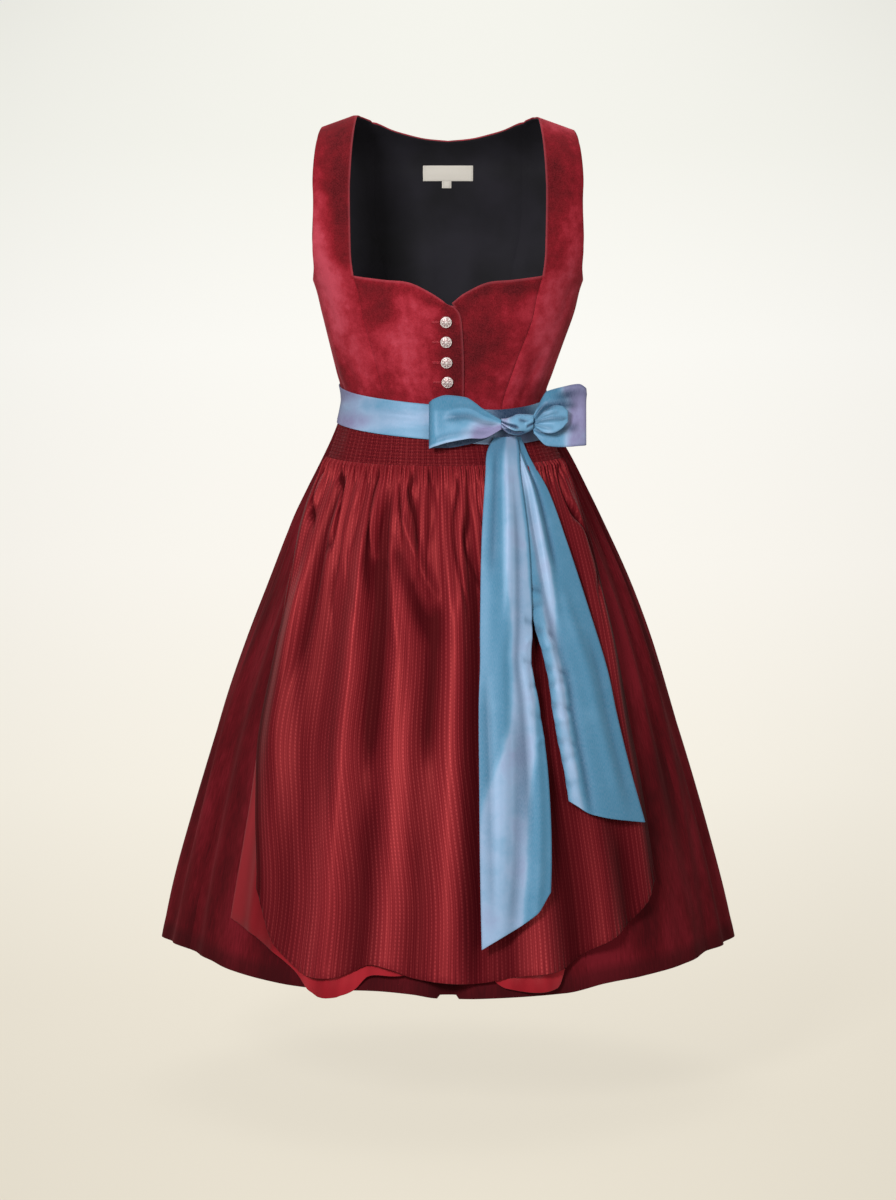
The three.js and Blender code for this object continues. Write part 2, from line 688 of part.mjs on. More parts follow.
addPiece(
  'waist_sash',
  clothOnForm({
    columns: 48,
    rows: 3,
    cloth: TAFFETA,
    ring: true,
    place(u, v) {
      const angle = 360 * u - 180;
      const height = smooth(SASH_TOP, 'angle', 'height', angle) - SASH_WIDTH * v;
      const overApron = 1 - step(Math.abs(angle), 66, 84);
      const snug = 2.2 + (BAND_LIFT + SHIRR_RISE) * overApron * step(-height, 335, 358);
      const crown = 0.8 * Math.sin(Math.PI * v);
      return { angle, height, lift: snug + crown };
    },
  }),
  taffetaBlue,
);

// ---- bow --------------------------------------------------------------------------------------------------------

// Below the waist line the bow leans out with the skirt.
const leanOut = (z) => 0.27 * Math.max(0, -345 - z);

// A loop of ribbon seen from above: its middle line runs from the knot along the front, round the end and back.
// Each station has the ribbon's two edges. The crown is how far the front of the ribbon bulges.
function ribbonLoop(stations, columns, rows) {
  const path = new THREE.CatmullRomCurve3(
    stations.map(({ x, y }) => new THREE.Vector3(x, y, 0)),
    false,
    'centripetal',
  );
  const edges = new THREE.CatmullRomCurve3(
    stations.map(({ top, foot, crown }) => new THREE.Vector3(top, foot, crown)),
    false,
    'centripetal',
  );
  const face = (depth) => (u, v) => {
    const middle = path.getPoint(u);
    const along = path.getTangent(u);
    const { x: top, y: foot, z: crown } = edges.getPoint(u);
    const z = THREE.MathUtils.lerp(top, foot, v);
    const out = crown * Math.sin(Math.PI * v) - depth;
    return new THREE.Vector3(middle.x + along.y * out, middle.y - along.x * out - leanOut(z), z);
  };
  return clothWall({ columns, rows, outer: face(0), inner: face(TAFFETA) });
}

// Stations run anticlockwise seen from above, so that the outer face looks away from the loop's hollow.
const LOOP_RIGHT = [
  { x: 64, y: -100.5, top: -359, foot: -369, crown: 0 },
  { x: 48, y: -102, top: -349, foot: -380, crown: 1 },
  { x: 26, y: -103, top: -338, foot: -387, crown: 1 },
  { x: 2, y: -104, top: -334, foot: -391, crown: 1 },
  { x: -16, y: -106, top: -336, foot: -391, crown: 0 },
  { x: -22, y: -111, top: -337, foot: -391, crown: 0 },
  { x: -17, y: -117, top: -332, foot: -388, crown: 1 },
  { x: -2, y: -120, top: -327, foot: -383, crown: 3 },
  { x: 22, y: -121, top: -329.5, foot: -378.5, crown: 4 },
  { x: 45, y: -116, top: -346, foot: -378, crown: 3 },
  { x: 64, y: -110, top: -358, foot: -369, crown: 1 },
].reverse();
const LOOP_LEFT = [
  { x: 104, y: -106, top: -352, foot: -374, crown: 1 },
  { x: 119, y: -109, top: -324, foot: -388, crown: 3 },
  { x: 140, y: -109, top: -318, foot: -389.5, crown: 3 },
  { x: 158, y: -104, top: -316, foot: -389, crown: 2 },
  { x: 166.5, y: -97, top: -322, foot: -389, crown: 0 },
  { x: 159, y: -89, top: -318, foot: -387, crown: 1 },
  { x: 140, y: -84, top: -322, foot: -385, crown: 1 },
  { x: 118, y: -88, top: -334, foot: -380, crown: 1 },
  { x: 104, y: -94, top: -354, foot: -372, crown: 0 },
].reverse();
const SMALL_FOLD = [
  { x: 107, y: -116, top: -357, foot: -366, crown: 0 },
  { x: 116, y: -121, top: -346, foot: -371, crown: 2 },
  { x: 128, y: -123, top: -339, foot: -371, crown: 2 },
  { x: 138, y: -121.5, top: -340, foot: -366, crown: 1 },
  { x: 144, y: -118.5, top: -346, foot: -359, crown: 0 },
  { x: 138, y: -115.5, top: -342, foot: -366, crown: 0 },
  { x: 127, y: -115, top: -341, foot: -370, crown: 0 },
  { x: 116, y: -114, top: -347, foot: -370, crown: 0 },
].reverse();

// The knot is wound taffeta: one rounded body along x, with its middle, half height and half depth.
function woundKnot(stations, columns, sides) {
  const reader = (column) => (u) => {
    const values = stations.map((station) => new THREE.Vector2(station.x, station[column]));
    return new THREE.SplineCurve(values).getPoint(u);
  };
  const [y, z, tall, deep] = ['y', 'z', 'tall', 'deep'].map(reader);
  const positions = [];
  const triangles = [];
  for (let column = 0; column <= columns; column += 1) {
    const u = column / columns;
    for (let side = 0; side < sides; side += 1) {
      const turn = (2 * Math.PI * side) / sides;
      const height = z(u).y + tall(u).y * Math.sin(turn);
      positions.push(y(u).x, y(u).y - deep(u).y * Math.cos(turn) - leanOut(height), height);
    }
  }
  const at = (column, side) => column * sides + (side % sides);
  for (let side = 0; side < sides; side += 1) {
    for (let column = 0; column < columns; column += 1) {
      triangles.push(at(column, side), at(column + 1, side), at(column + 1, side + 1));
      triangles.push(at(column, side), at(column + 1, side + 1), at(column, side + 1));
    }
  }
  for (let side = 1; side < sides - 1; side += 1) {
    triangles.push(at(0, 0), at(0, side), at(0, side + 1));
    triangles.push(at(columns, 0), at(columns, side + 1), at(columns, side));
  }
  const geometry = new THREE.BufferGeometry();
  geometry.setAttribute('position', new THREE.Float32BufferAttribute(positions, 3));
  geometry.setIndex(triangles);
  return geometry;
}

const KNOT = [
  { x: 64.6, y: -106, z: -362.5, tall: 5.5, deep: 5.5 },
  { x: 70, y: -107, z: -364.5, tall: 8, deep: 8 },
  { x: 77, y: -107, z: -365, tall: 10.5, deep: 9.5 },
  { x: 84, y: -107, z: -364, tall: 12.5, deep: 9 },
  { x: 93, y: -106, z: -363, tall: 11.5, deep: 8 },
  { x: 99, y: -106, z: -362, tall: 10, deep: 7.5 },
  { x: 103.5, y: -105, z: -361, tall: 8.5, deep: 6.5 },
];

addPiece('bow_loop_right', ribbonLoop(LOOP_RIGHT, 18, 4), taffetaBlue);
addPiece('bow_loop_left', ribbonLoop(LOOP_LEFT, 16, 4), taffetaBlue);
addPiece('bow_fold', ribbonLoop(SMALL_FOLD, 10, 3), taffetaBlue);
addPiece('bow_knot', woundKnot(KNOT, 9, 10), taffetaBlue);

// The two hanging ends lie on the apron. Each row gives where the two edges hang, across the dress, and the lift.
const TAIL_TOP = -386;
const TAIL_LONG = {
  foot: [
    { across: 0, height: -975 },
    { across: 0.82, height: -936 },
    { across: 1, height: -912 },
  ],
  crease: [0, 2.6, 1, 3.4, 0.6],
  rows: [
    { height: -384, first: 57, last: 84, lift: 14 },
    { height: -402, first: 48, last: 87, lift: 15 },
    { height: -425, first: 46, last: 88, lift: 15 },
    { height: -504, first: 41, last: 98, lift: 19 },
    { height: -606, first: 39, last: 102, lift: 22 },
    { height: -645, first: 39, last: 101, lift: 22.5 },
    { height: -694, first: 37.5, last: 110, lift: 23.5 },
    { height: -777, first: 38, last: 121, lift: 24.5 },
    { height: -877, first: 39, last: 125, lift: 25.5 },
    { height: -980, first: 41, last: 120, lift: 27 },
  ],
};
const TAIL_SHORT = {
  foot: [
    { across: 0, height: -808 },
    { across: 0.3, height: -826 },
    { across: 1, height: -844 },
  ],
  crease: [0, 1.4, 2.2, 0.8, 0],
  rows: [
    { height: -384, first: 76, last: 88, lift: 10.5 },
    { height: -410, first: 80, last: 99, lift: 11.2 },
    { height: -450, first: 86, last: 122, lift: 13.4 },
    { height: -508, first: 92, last: 144, lift: 16 },
    { height: -588, first: 102, last: 171, lift: 18 },
    { height: -661, first: 121, last: 194, lift: 19.5 },
    { height: -716, first: 129, last: 206, lift: 21 },
    { height: -780, first: 142, last: 222, lift: 22.5 },
    { height: -850, first: 152, last: 242, lift: 24 },
  ],
};

function tail({ foot, crease, rows }, rowCount) {
  const columns = crease.length - 1;
  return clothOnForm({
    columns,
    rows: rowCount,
    cloth: TAFFETA,
    place(u, v) {
      const height = THREE.MathUtils.lerp(TAIL_TOP, smooth(foot, 'across', 'height', u), v);
      const first = smooth(rows, 'height', 'first', height);
      const x = THREE.MathUtils.lerp(first, smooth(rows, 'height', 'last', height), u);
      const lift = smooth(rows, 'height', 'lift', height) + crease[Math.round(u * columns)] * step(v, 0, 0.1);
      const drift = onForm(angleAcross(x, height), height, lift).x - x; // the lift carries the cloth sideways too
      return { angle: angleAcross(x - drift, height), height, lift };
    },
  });
}

addPiece('bow_tail_long', tail(TAIL_LONG, 12), taffetaBlue);
addPiece('bow_tail_short', tail(TAIL_SHORT, 10), taffetaBlue);

export default dirndl;
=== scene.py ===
"""A dirndl as it is worn, with no wearer: velvet bodice, gathered skirt, shirred apron and a taffeta sash.

Sizes are millimetres of real cloth, and each mesh is scaled to metres as it is made. The front faces -Y and
+X is the wearer's left. Left and right are the wearer's, and angles are degrees round the dress, from the
centre front towards the left."""
import math

import bpy
import numpy as np
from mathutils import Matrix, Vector


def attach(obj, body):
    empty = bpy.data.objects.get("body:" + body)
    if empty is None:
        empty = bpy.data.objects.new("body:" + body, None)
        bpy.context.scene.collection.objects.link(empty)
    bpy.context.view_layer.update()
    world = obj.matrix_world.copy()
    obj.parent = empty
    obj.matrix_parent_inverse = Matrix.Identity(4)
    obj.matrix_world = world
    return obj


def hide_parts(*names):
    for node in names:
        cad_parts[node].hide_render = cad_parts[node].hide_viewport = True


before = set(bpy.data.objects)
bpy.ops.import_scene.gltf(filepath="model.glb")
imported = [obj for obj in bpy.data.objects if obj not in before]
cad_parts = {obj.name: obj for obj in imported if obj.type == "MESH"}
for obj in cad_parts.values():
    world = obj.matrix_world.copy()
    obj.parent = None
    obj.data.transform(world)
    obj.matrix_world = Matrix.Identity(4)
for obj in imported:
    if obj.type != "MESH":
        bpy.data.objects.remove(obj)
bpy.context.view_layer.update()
MM = 0.001

# ---- bodice --------------------------------------------------------------------------------------
# Seven panels of cotton velvet, cut to the figure: two centre fronts, two side fronts and two side backs
# that run up into the shoulder straps, and a centre back. They are seamed right sides together, so each
# seam is a fine groove, and the neck edge is turned over the lining.


def table(columns, *rows):
    """A short table with named columns and a row for each section or point. Its first column is the key."""
    return dict(zip(columns.split(), np.array(rows, float).T))


def smooth(rows, column, value):
    """Reads a table on a smooth curve through its rows."""
    keys = next(iter(rows.values()))
    values = rows[column]
    if keys[0] > keys[-1]:
        keys, values = keys[::-1], values[::-1]
    before = np.maximum(np.arange(len(keys)) - 1, 0)
    after = np.minimum(np.arange(len(keys)) + 1, len(keys) - 1)
    slope = (values[after] - values[before]) / (keys[after] - keys[before])
    inside = np.clip(value, keys[0], keys[-1])
    row = np.clip(np.searchsorted(keys, inside, side="right") - 1, 0, len(keys) - 2)
    span = keys[row + 1] - keys[row]
    t = (inside - keys[row]) / span
    held = values[row] * (2 * t**3 - 3 * t**2 + 1) + values[row + 1] * (3 * t**2 - 2 * t**3)
    return held + span * (slope[row] * (t**3 - 2 * t**2 + t) + slope[row + 1] * (t**3 - t**2))


def step(value, start, end):
    """Rises softly from 0 at the start to 1 at the end."""
    t = np.clip((value - start) / (end - start), 0, 1)
    return t * t * (3 - 2 * t)


def bell(away, width):
    """1 at a line and falling softly to 0 on both sides of it."""
    return np.exp(-((away / width) ** 2))


def between(first, last, share):
    """A place between two edges, by its share of the way across."""
    return first + (last - first) * share


def grid(columns, rows):
    """The shares across and down at each point of a cloth."""
    return np.meshgrid(np.linspace(0, 1, columns + 1), np.linspace(0, 1, rows + 1))


def from_right(angle):
    """The same angle counted on from the right side, through the front and the left side to the back."""
    return np.where(angle < -100, angle + 360, angle)


def from_back(angle):
    """The same angle between -180 and 180."""
    return (angle + 180) % 360 - 180


CHEST_HEIGHT = -80  # above this the form rolls over the shoulder
SHOULDER_ROUND = 80
NECK_HALF = {"right": 115, "left": 104}
SHOULDER_FALL = 0.36
WAIST_SEAM = -358
FORM = table(
    "height half front back shift square",
    (-1035, 359, 296, 307, 0, 1.85),
    (-957, 342, 279, 292, 0, 1.9),
    (-880, 322, 261, 275, 0, 1.95),
    (-802, 300, 241, 256, 0, 2),
    (-726, 277, 219, 235, 0, 2.05),
    (-650, 251.5, 197, 213, 1.5, 2.1),
    (-575, 222.5, 172, 188, 1.5, 2.2),
    (-500, 192, 145, 160, -1, 2.3),
    (-462, 174, 131, 144, -1, 2.3),
    (-424, 155, 115, 127, -1, 2.3),
    (-387, 136, 100, 106, -3, 2.3),
    (-362, 127, 92, 92, -4, 2.3),
    (-345, 124, 90, 86, -5, 2.3),
    (-314, 133, 94, 87, -4, 2.3),
    (-277, 144, 99, 91, -2, 2.3),
    (-240, 155, 103, 96, 0, 2.3),
    (-208, 163, 104, 100, 0, 2.3),
    (-150, 186, 101, 103, 0, 2.3),
    (-80, 190, 88, 94, 0, 2.3),
)


def form_point(angle, height):
    """A point of the form that the cloth keeps."""
    roll = np.maximum(0, height - CHEST_HEIGHT) / SHOULDER_ROUND
    level = np.minimum(height, CHEST_HEIGHT)
    sine = np.sin(np.radians(angle))
    cosine = np.cos(np.radians(angle))
    square = smooth(FORM, "square", level)
    reach = (np.abs(sine) ** square + np.abs(cosine) ** square) ** (-1 / square)
    depth = np.where(cosine > 0, smooth(FORM, "front", level), smooth(FORM, "back", level)) * np.cos(roll)
    x = smooth(FORM, "shift", level) + smooth(FORM, "half", level) * reach * sine
    beyond = np.maximum(-x - NECK_HALF["right"], x - NECK_HALF["left"])
    fall = SHOULDER_FALL * np.maximum(0, beyond) * np.sin(roll)
    return np.stack([x, -depth * reach * cosine, level + SHOULDER_ROUND * np.sin(roll) - fall], -1)


def unit(vectors):
    return vectors / np.maximum(np.linalg.norm(vectors, axis=-1, keepdims=True), 1e-9)


def on_form(angle, height, lift):
    """The same point moved out from the form by a lift, or inwards by a negative one."""
    around = form_point(angle + 0.05, height) - form_point(angle - 0.05, height)
    up = form_point(angle, height + 0.5) - form_point(angle, height - 0.5)
    return form_point(angle, height) + unit(np.cross(around, up)) * np.asarray(lift)[..., None]


def per_degree(angle, height):
    """How many millimetres of the form a degree spans there."""
    return np.linalg.norm(form_point(angle + 0.5, height) - form_point(angle - 0.5, height), axis=-1)


def creases(rows, across, down):
    """The lift of soft creases. Each runs from its first place across to its last one between two heights,
    bowed sideways where the table has a bow, and fades at both ends. A ridge is round, a trough sharper."""
    lift = np.zeros(np.broadcast(across, down).shape)
    bows = rows.get("bow", np.zeros(len(rows["width"])))
    for first, last, start, end, width, depth, bow in zip(*list(rows.values())[:6], bows):
        run = (down - start) / (end - start)
        inside = np.clip(run, 0, 1)
        centre = between(first, last, inside) + 4 * bow * inside * (1 - inside)
        fade = step(run, 0, 0.22) * (1 - step(run, 0.72, 1))
        lift += depth * fade * np.exp(-((np.abs(across - centre) / width) ** (2 if depth > 0 else 1.7)))
    return lift


RIM_FACETS = 4  # round the turned edge of a cloth


def outward(face, ring):
    """The outward direction at each point of a face."""
    wrapped = np.concatenate([face[:, -2:-1], face, face[:, 1:2]], 1) if ring else None
    right = wrapped[:, 2:] - wrapped[:, :-2] if ring else np.gradient(face, axis=1)
    return unit(np.cross(right, -np.gradient(face, axis=0)))


def patches(index):
    """The four-cornered faces between neighbouring points of a grid."""
    return np.stack([index[:-1, :-1], index[1:, :-1], index[1:, 1:], index[:-1, 1:]], -1).reshape(-1, 4)


def set_down(name, data):
    """Puts a mesh, a light or a camera in the scene."""
    thing = bpy.data.objects.new(name, data)
    bpy.context.scene.collection.objects.link(thing)
    return thing


def finished(mesh, finish, **tones):
    """A smooth piece in its finish, with the tones, such as nap or shade, kept for each of its points."""
    for kept, values in tones.items():
        mesh.attributes.new(kept, "FLOAT", "POINT").data.foreach_set("value", values)
    mesh.shade_smooth()
    mesh.materials.append(finish)
    return set_down(mesh.name, mesh)


def cloth_mesh(name, face, thick, finish, ring=False, **tones):
    """A closed shell of cloth with rounded edges. The face is its outer side, in rows from the top that run
    to the right as seen from outside; a ring's rows end on their first point. Tones are one number a point."""
    rows, columns = face.shape[0] - 1, face.shape[1] - 1
    normal = outward(face, ring)
    across, down = flat_cut(face)
    count = columns if ring else columns + 1
    index = np.arange((rows + 1) * count).reshape(rows + 1, count)
    index = np.concatenate([index, index[:, :1]], 1) if ring else index
    inner = index + index.max() + 1
    points = [face[:, :count].reshape(-1, 3), (face - normal * thick)[:, :count].reshape(-1, 3)]
    source = [np.arange((rows + 1) * count)] * 2
    inside_out = [0, 3, 2, 1]
    quads = [patches(index), patches(inner)[:, inside_out]]
    laid = np.stack(np.meshgrid(across, down), -1)
    outer_cut = laid.reshape(-1, 2)[patches(np.arange(face[..., 0].size).reshape(face.shape[:2]))]
    flat = [outer_cut, outer_cut[:, inside_out]]
    if ring:
        loops = [[(rows, c) for c in range(columns + 1)], [(0, c) for c in range(columns, -1, -1)]]
    else:
        loops = [
            [(r, 0) for r in range(rows)]
            + [(rows, c) for c in range(columns)]
            + [(r, columns) for r in range(rows, 0, -1)]
            + [(0, c) for c in range(columns, -1, -1)]
        ]
    total = 2 * index.max() + 2
    for loop in loops:
        r, c = np.array(loop).T
        spread = np.zeros((len(loop), 3))
        down_way = unit(face[np.minimum(r + 1, rows), c] - face[np.maximum(r - 1, 0), c])
        spread += down_way * ((r == rows).astype(float) - (r == 0))[:, None]
        if not ring:
            right_way = unit(face[r, np.minimum(c + 1, columns)] - face[r, np.maximum(c - 1, 0)])
            spread += right_way * ((c == columns).astype(float) - (c == 0))[:, None]
        spread = unit(spread)
        layers = [index[r, c]]
        for facet in range(1, RIM_FACETS):
            turn = math.pi * facet / RIM_FACETS
            edge = face[r, c] - normal[r, c] * thick / 2 * (1 - math.cos(turn))
            edge = edge + spread * thick / 2 * math.sin(turn)
            points.append(edge[:-1])
            source.append(index[r, c][:-1])
            ids = total + np.arange(len(loop) - 1)
            layers.append(np.append(ids, ids[0]))
            total += len(loop) - 1
        layers.append(inner[r, c])
        cut = laid[r, c]
        for near, far in zip(layers[:-1], layers[1:]):
            quads.append(np.stack([near[:-1], far[:-1], far[1:], near[1:]], -1))
            flat.append(np.stack([cut[:-1], cut[:-1], cut[1:], cut[1:]], 1))
    mesh = bpy.data.meshes.new(name)
    mesh.from_pydata(np.concatenate(points) * MM, [], np.concatenate(quads).tolist())
    mesh.uv_layers.new(name="cut").data.foreach_set("uv", (np.concatenate(flat) * MM).ravel())
    source = np.concatenate(source)
    for kept, values in tones.items():
        tones[kept] = np.broadcast_to(values, face.shape[:2])[:, :count].ravel()[source]
    return finished(mesh, finish, **tones)


def flat_cut(face):
    """The cloth laid flat: how far across each column lies, on its widest row, and how far down each row."""
    steps = np.linalg.norm(np.diff(face, axis=1), axis=-1)
    widest = steps[np.argmax(steps.sum(1))]
    drops = np.linalg.norm(np.diff(face, axis=0), axis=-1).mean(1)
    return np.append(0, np.cumsum(widest)), np.append(0, np.cumsum(drops))


def wear(piece, node, face=None):
    """The piece rides on the dress in its node's place, and the node's own part is hidden. A sheet's flat size
    is worked out but not kept.
    """
    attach(piece, "root")
    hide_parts(node)
    if face is not None:
        across, down = flat_cut(face)
    return piece


def dye(code):
    """A colour from its hex code, as a shader takes it."""
    parts = [int(code[place : place + 2], 16) / 255 for place in (0, 2, 4)]
    return (*[p / 12.92 if p <= 0.04045 else ((p + 0.055) / 1.055) ** 2.4 for p in parts], 1.0)


def new_finish(name, **sockets):
    """A finish with its shader's plain settings, a function that adds a node, and one that feeds the shader.
    A node's feeds go to its inputs in order, or are pairs of an input's name or number and what feeds it."""
    material = bpy.data.materials.new(name)
    material.use_nodes = True
    tree = material.node_tree
    shader = tree.nodes["Principled BSDF"]

    def feed(made, place, value):
        socket = made.inputs[place]
        if isinstance(value, bpy.types.NodeSocket):
            tree.links.new(value, socket)
        else:
            socket.default_value = value

    for socket, value in sockets.items():
        feed(shader, socket.replace("_", " "), value)

    def add(kind, *feeds, out=0, **settings):
        made = tree.nodes.new("ShaderNode" + kind)
        for setting, value in settings.items():
            setattr(made, setting, value)
        for place, value in enumerate(feeds):
            if isinstance(value, tuple) and len(value) == 2:
                place, value = value
            feed(made, place, value)
        return made.outputs[out]

    def give(**links):
        for socket, value in links.items():
            feed(shader, socket.replace("_", " "), value)

    return material, add, give


def ramp(add, value, *stops):
    """Colours along a value, each stop a place and a hex code."""
    out = add("ValToRGB", value)
    stop_list = out.node.color_ramp.elements
    while len(stop_list) < len(stops):
        stop_list.new(0.5)
    for stop, (place, code) in zip(stop_list, stops):
        stop.position = place
        stop.color = dye(code)
    return out


def mixed(add, share, colour, other):
    """One colour turning into another by a share."""
    return add("Mix", share, (6, colour), (7, other), out=2, data_type="RGBA")


def tone(add, name):
    """A tone that is kept for each point of the piece."""
    return add("Attribute", out=2, attribute_name=name)


def relief(add, height, strength, distance):
    """A fine relief in the surface, its distance in metres."""
    return add("Bump", ("Height", height), ("Strength", strength), ("Distance", distance))


def sums(add, *steps):
    """A run of sums on one value, each an operation and its numbers."""
    value = steps[0]
    for operation, *numbers in steps[1:]:
        value = add("Math", value, *numbers, operation=operation)
    return value


def velvet_finish():
    """Cotton velvet: short dense pile, brushed unevenly, with painted sheen patches and painted highlights at
    turned edges.
    """
    material, add, give = new_finish("velvet", Roughness=0.9, Specular_IOR_Level=0.15, Sheen_Weight=0.26,
                                     Sheen_Roughness=0.4, Sheen_Tint=dye("ff7f8c"))
    place = add("TexCoord", out=3)
    stretched = add("Mapping", place, ("Scale", (1.0, 1.0, 0.55)))
    broad = add("TexNoise", stretched, ("Scale", 11.0), ("Detail", 4.0), ("Roughness", 0.55),
                ("Distortion", 0.6))
    small = add("TexNoise", place, ("Scale", 60.0), ("Detail", 4.0), ("Roughness", 0.7))
    pile = add("TexNoise", place, ("Scale", 900.0), ("Detail", 2.0))
    brushed = sums(add, broad, ("MULTIPLY", 0.72), ("ADD", -0.05))
    brushed = sums(add, small, ("MULTIPLY_ADD", 0.4, brushed))
    # the kept nap tone is partly the pile's brushing and partly painted sheen
    brushed = sums(add, tone(add, "nap"), ("MULTIPLY_ADD", 0.23, brushed))
    colour = ramp(add, brushed, (0.28, "4a060e"), (0.42, "6e0d18"), (0.5, "881523"), (0.6, "a72a39"),
                  (0.78, "cc4e60"))
    grain = mixed(add, 0.16, colour, ramp(add, pile, (0.35, "3a0509"), (0.65, "c8404a")))
    # the edge tone is a painted highlight along the turned edges, mixed towards b0565f
    give(Base_Color=mixed(add, tone(add, "edge"), grain, dye("b0565f")))
    give(Normal=relief(add, pile, 0.35, 0.0006))
    return material


VELVET = 1.8
SEAM_GAP = 0.3
SIDE_SEAM = 90
BACK_PRINCESS = 152
BACK_PRINCESS_TOP = 3
PRINCESS = table("height angle", (-358, 33.4), (-331, 34.3), (-282, 37), (-241, 39.4), (-188, 40))
CLOSING_EDGE = table("height angle", (-358, 11.4), (-331, 10.4), (-286, 8.5), (-249, 6.4), (-232, 5.2),
                     (-223, 3), (-218, -0.4))
SWEETHEART = table("angle height", (0.5, -218), (8, -204), (16, -193), (26, -190.5), (40, -187))
STRAP_FOOT = -187
STRAP_INNER = table("height angle", (-187, 40), (-143, 37.5), (-83, 37.2), (-29, 36.2), (26, 34.6),
                    (45.7, 34.2))
UNDERARM = -206
ARMHOLE = table(
    "height front back",
    (-206, 90, 90),
    (-202, 84, 96),
    (-194, 74, 105),
    (-182, 66, 112),
    (-165, 61, 117),
    (-140, 57.2, 121),
    (-105, 56, 123),
    (-64, 56, 124),
    (-12, 54, 126),
    (30, 51, 129),
    (45.7, 50.5, 129.5),
)
BACK_NECK = table(
    "angle height",
    (145.8, 45.7),
    (147, 24),
    (149.3, 13),
    (152, 3),
    (155, -6),
    (159, -17),
    (164, -25),
    (171, -33),
    (180, -37),
)
UNDERLAP = {"angle": -7, "drop": 2.4, "clear": 0.8, "rise": 6}  # the left front runs on under the right one
SEAM_GROOVE = {"depth": 1.1, "width": 1.9}
PAINTED_EDGE_HIGHLIGHT = 0.9  # how wide the painted highlight along the turned edge is, mm
# Soft pulls in the velvet: at the waist above the sash, under the arms, across the bust and beside the
# buttons.
BODICE_PULLS = table(
    "first last start end width depth",
    (-58, -48, -290, -352, 3.0, -1.3),
    (-80, -70, -296, -352, 3.4, -1.5),
    (-70, -62, -250, -350, 4.0, 1.0),
    (-46, -36, -296, -352, 2.2, -0.8),
    (-25, -22, -262, -352, 5.0, 0.8),
    (-17, -14, -300, -350, 2.4, -0.7),
    (52, 44, -280, -352, 3.0, -1.2),
    (72, 64, -296, -352, 3.6, -1.5),
    (62, 54, -240, -350, 4.0, 0.9),
    (24, 22, -280, -352, 4.0, 0.8),
    (-66, -60, -196, -262, 4.5, -1.1),
    (64, 58, -196, -258, 4.5, -1.1),
    (47, 46, -20, -130, 3.0, 0.7),
    (-47, -46, -10, -120, 3.0, 0.7),
    (110, 118, -240, -350, 5.0, -1.4),
    (134, 138, -270, -352, 3.5, -1.2),
    (168, 172, -290, -352, 4.0, -1.3),
    (190, 186, -300, -352, 3.4, -1.2),
    (226, 221, -262, -352, 4.2, -1.3),
    (252, 244, -232, -350, 5.0, -1.4),
)
# Where the velvet looks pale and where it looks deep: partly the pile's own brushing, partly painted sheen
# where light catches it. Each patch is so many degrees wide and so many mm tall.
NAP_AND_PAINTED_SHEEN = table(
    "angle height wide tall tone",
    (-60, -215, 12, 80, 1.3),
    (-53, -140, 5, 60, 0.6),
    (-41, -95, 7, 95, -1.0),
    (-44, -298, 13, 52, 1.2),
    (-30, -226, 8, 24, -0.85),
    (-22, -285, 10, 45, 0.6),
    (-14, -215, 7, 24, 0.3),
    (-1, -280, 6, 70, -0.55),
    (15, -262, 12, 75, -0.7),
    (30, -210, 7, 12, -0.5),
    (46, -232, 6, 45, 0.45),
    (39, -310, 5, 45, 0.4),
    (57, -265, 9, 80, 0.7),
    (40, -70, 7, 90, -0.6),
    (52, -150, 6, 60, 0.25),
    (72, -205, 8, 60, 0.8),
    (105, -250, 14, 80, 0.5),
    (140, -180, 10, 90, -0.5),
    (165, -290, 12, 60, 0.4),
    (196, -200, 10, 70, -0.4),
    (228, -280, 13, 60, 0.5),
    (250, -170, 10, 70, -0.4),
)


def brushed_nap(angle, height):
    """How much paler, above 0, or deeper the velvet is made there: the pile's brushing and painted sheen."""
    away = ((from_right(angle)[..., None] - NAP_AND_PAINTED_SHEEN["angle"]) / NAP_AND_PAINTED_SHEEN["wide"]) ** 2
    away = away + ((height[..., None] - NAP_AND_PAINTED_SHEEN["height"]) / NAP_AND_PAINTED_SHEEN["tall"]) ** 2
    return (NAP_AND_PAINTED_SHEEN["tone"] * np.exp(-away)).sum(-1)


def beside_seam(angle, height, side):
    """A seam line kept half a seam gap to one side, +1 or -1, of its true angle."""
    return angle + side * SEAM_GAP / 2 / per_degree(angle, height)


def princess(height):
    return smooth(PRINCESS, "angle", height)


STRAP_TOP = 45.4
ARMHOLE_TURNS = -140  # below this the armhole turns in under the arm
SEWN = 99  # stands for an edge that is sewn in and not turned
# Heights of a side panel's rows, closest where the armhole turns.
SIDE_ROWS = np.concatenate([
    np.linspace(STRAP_TOP, ARMHOLE_TURNS, 34, endpoint=False),
    np.linspace(ARMHOLE_TURNS, UNDERARM, 26, endpoint=False),
    np.linspace(UNDERARM, WAIST_SEAM, 31),
])[:, None]


def side_panel(first, last, neck_edge, is_turned, side, columns):
    """The angles and heights of a side panel on the left, or of its mirror on the right, and how far each
    point lies from the turned edge at the neck."""
    share = np.linspace(0, 1, columns + 1)
    angle = between(first, last, share) if side > 0 else between(-last, -first, share)
    from_edge = np.abs((np.abs(angle) - neck_edge) * per_degree(angle, SIDE_ROWS))
    return angle, np.broadcast_to(SIDE_ROWS, angle.shape), np.where(is_turned, from_edge, SEWN)


def side_front(side, columns):
    height = SIDE_ROWS
    on_strap = height > STRAP_FOOT
    strap = smooth(STRAP_INNER, "angle", height)
    inner = np.where(on_strap, strap, beside_seam(princess(height), height, 1))
    armhole = smooth(ARMHOLE, "front", height)
    outer = np.where(height > UNDERARM, armhole, beside_seam(SIDE_SEAM, height, -1))
    return side_panel(inner, outer, inner, on_strap, side, columns)


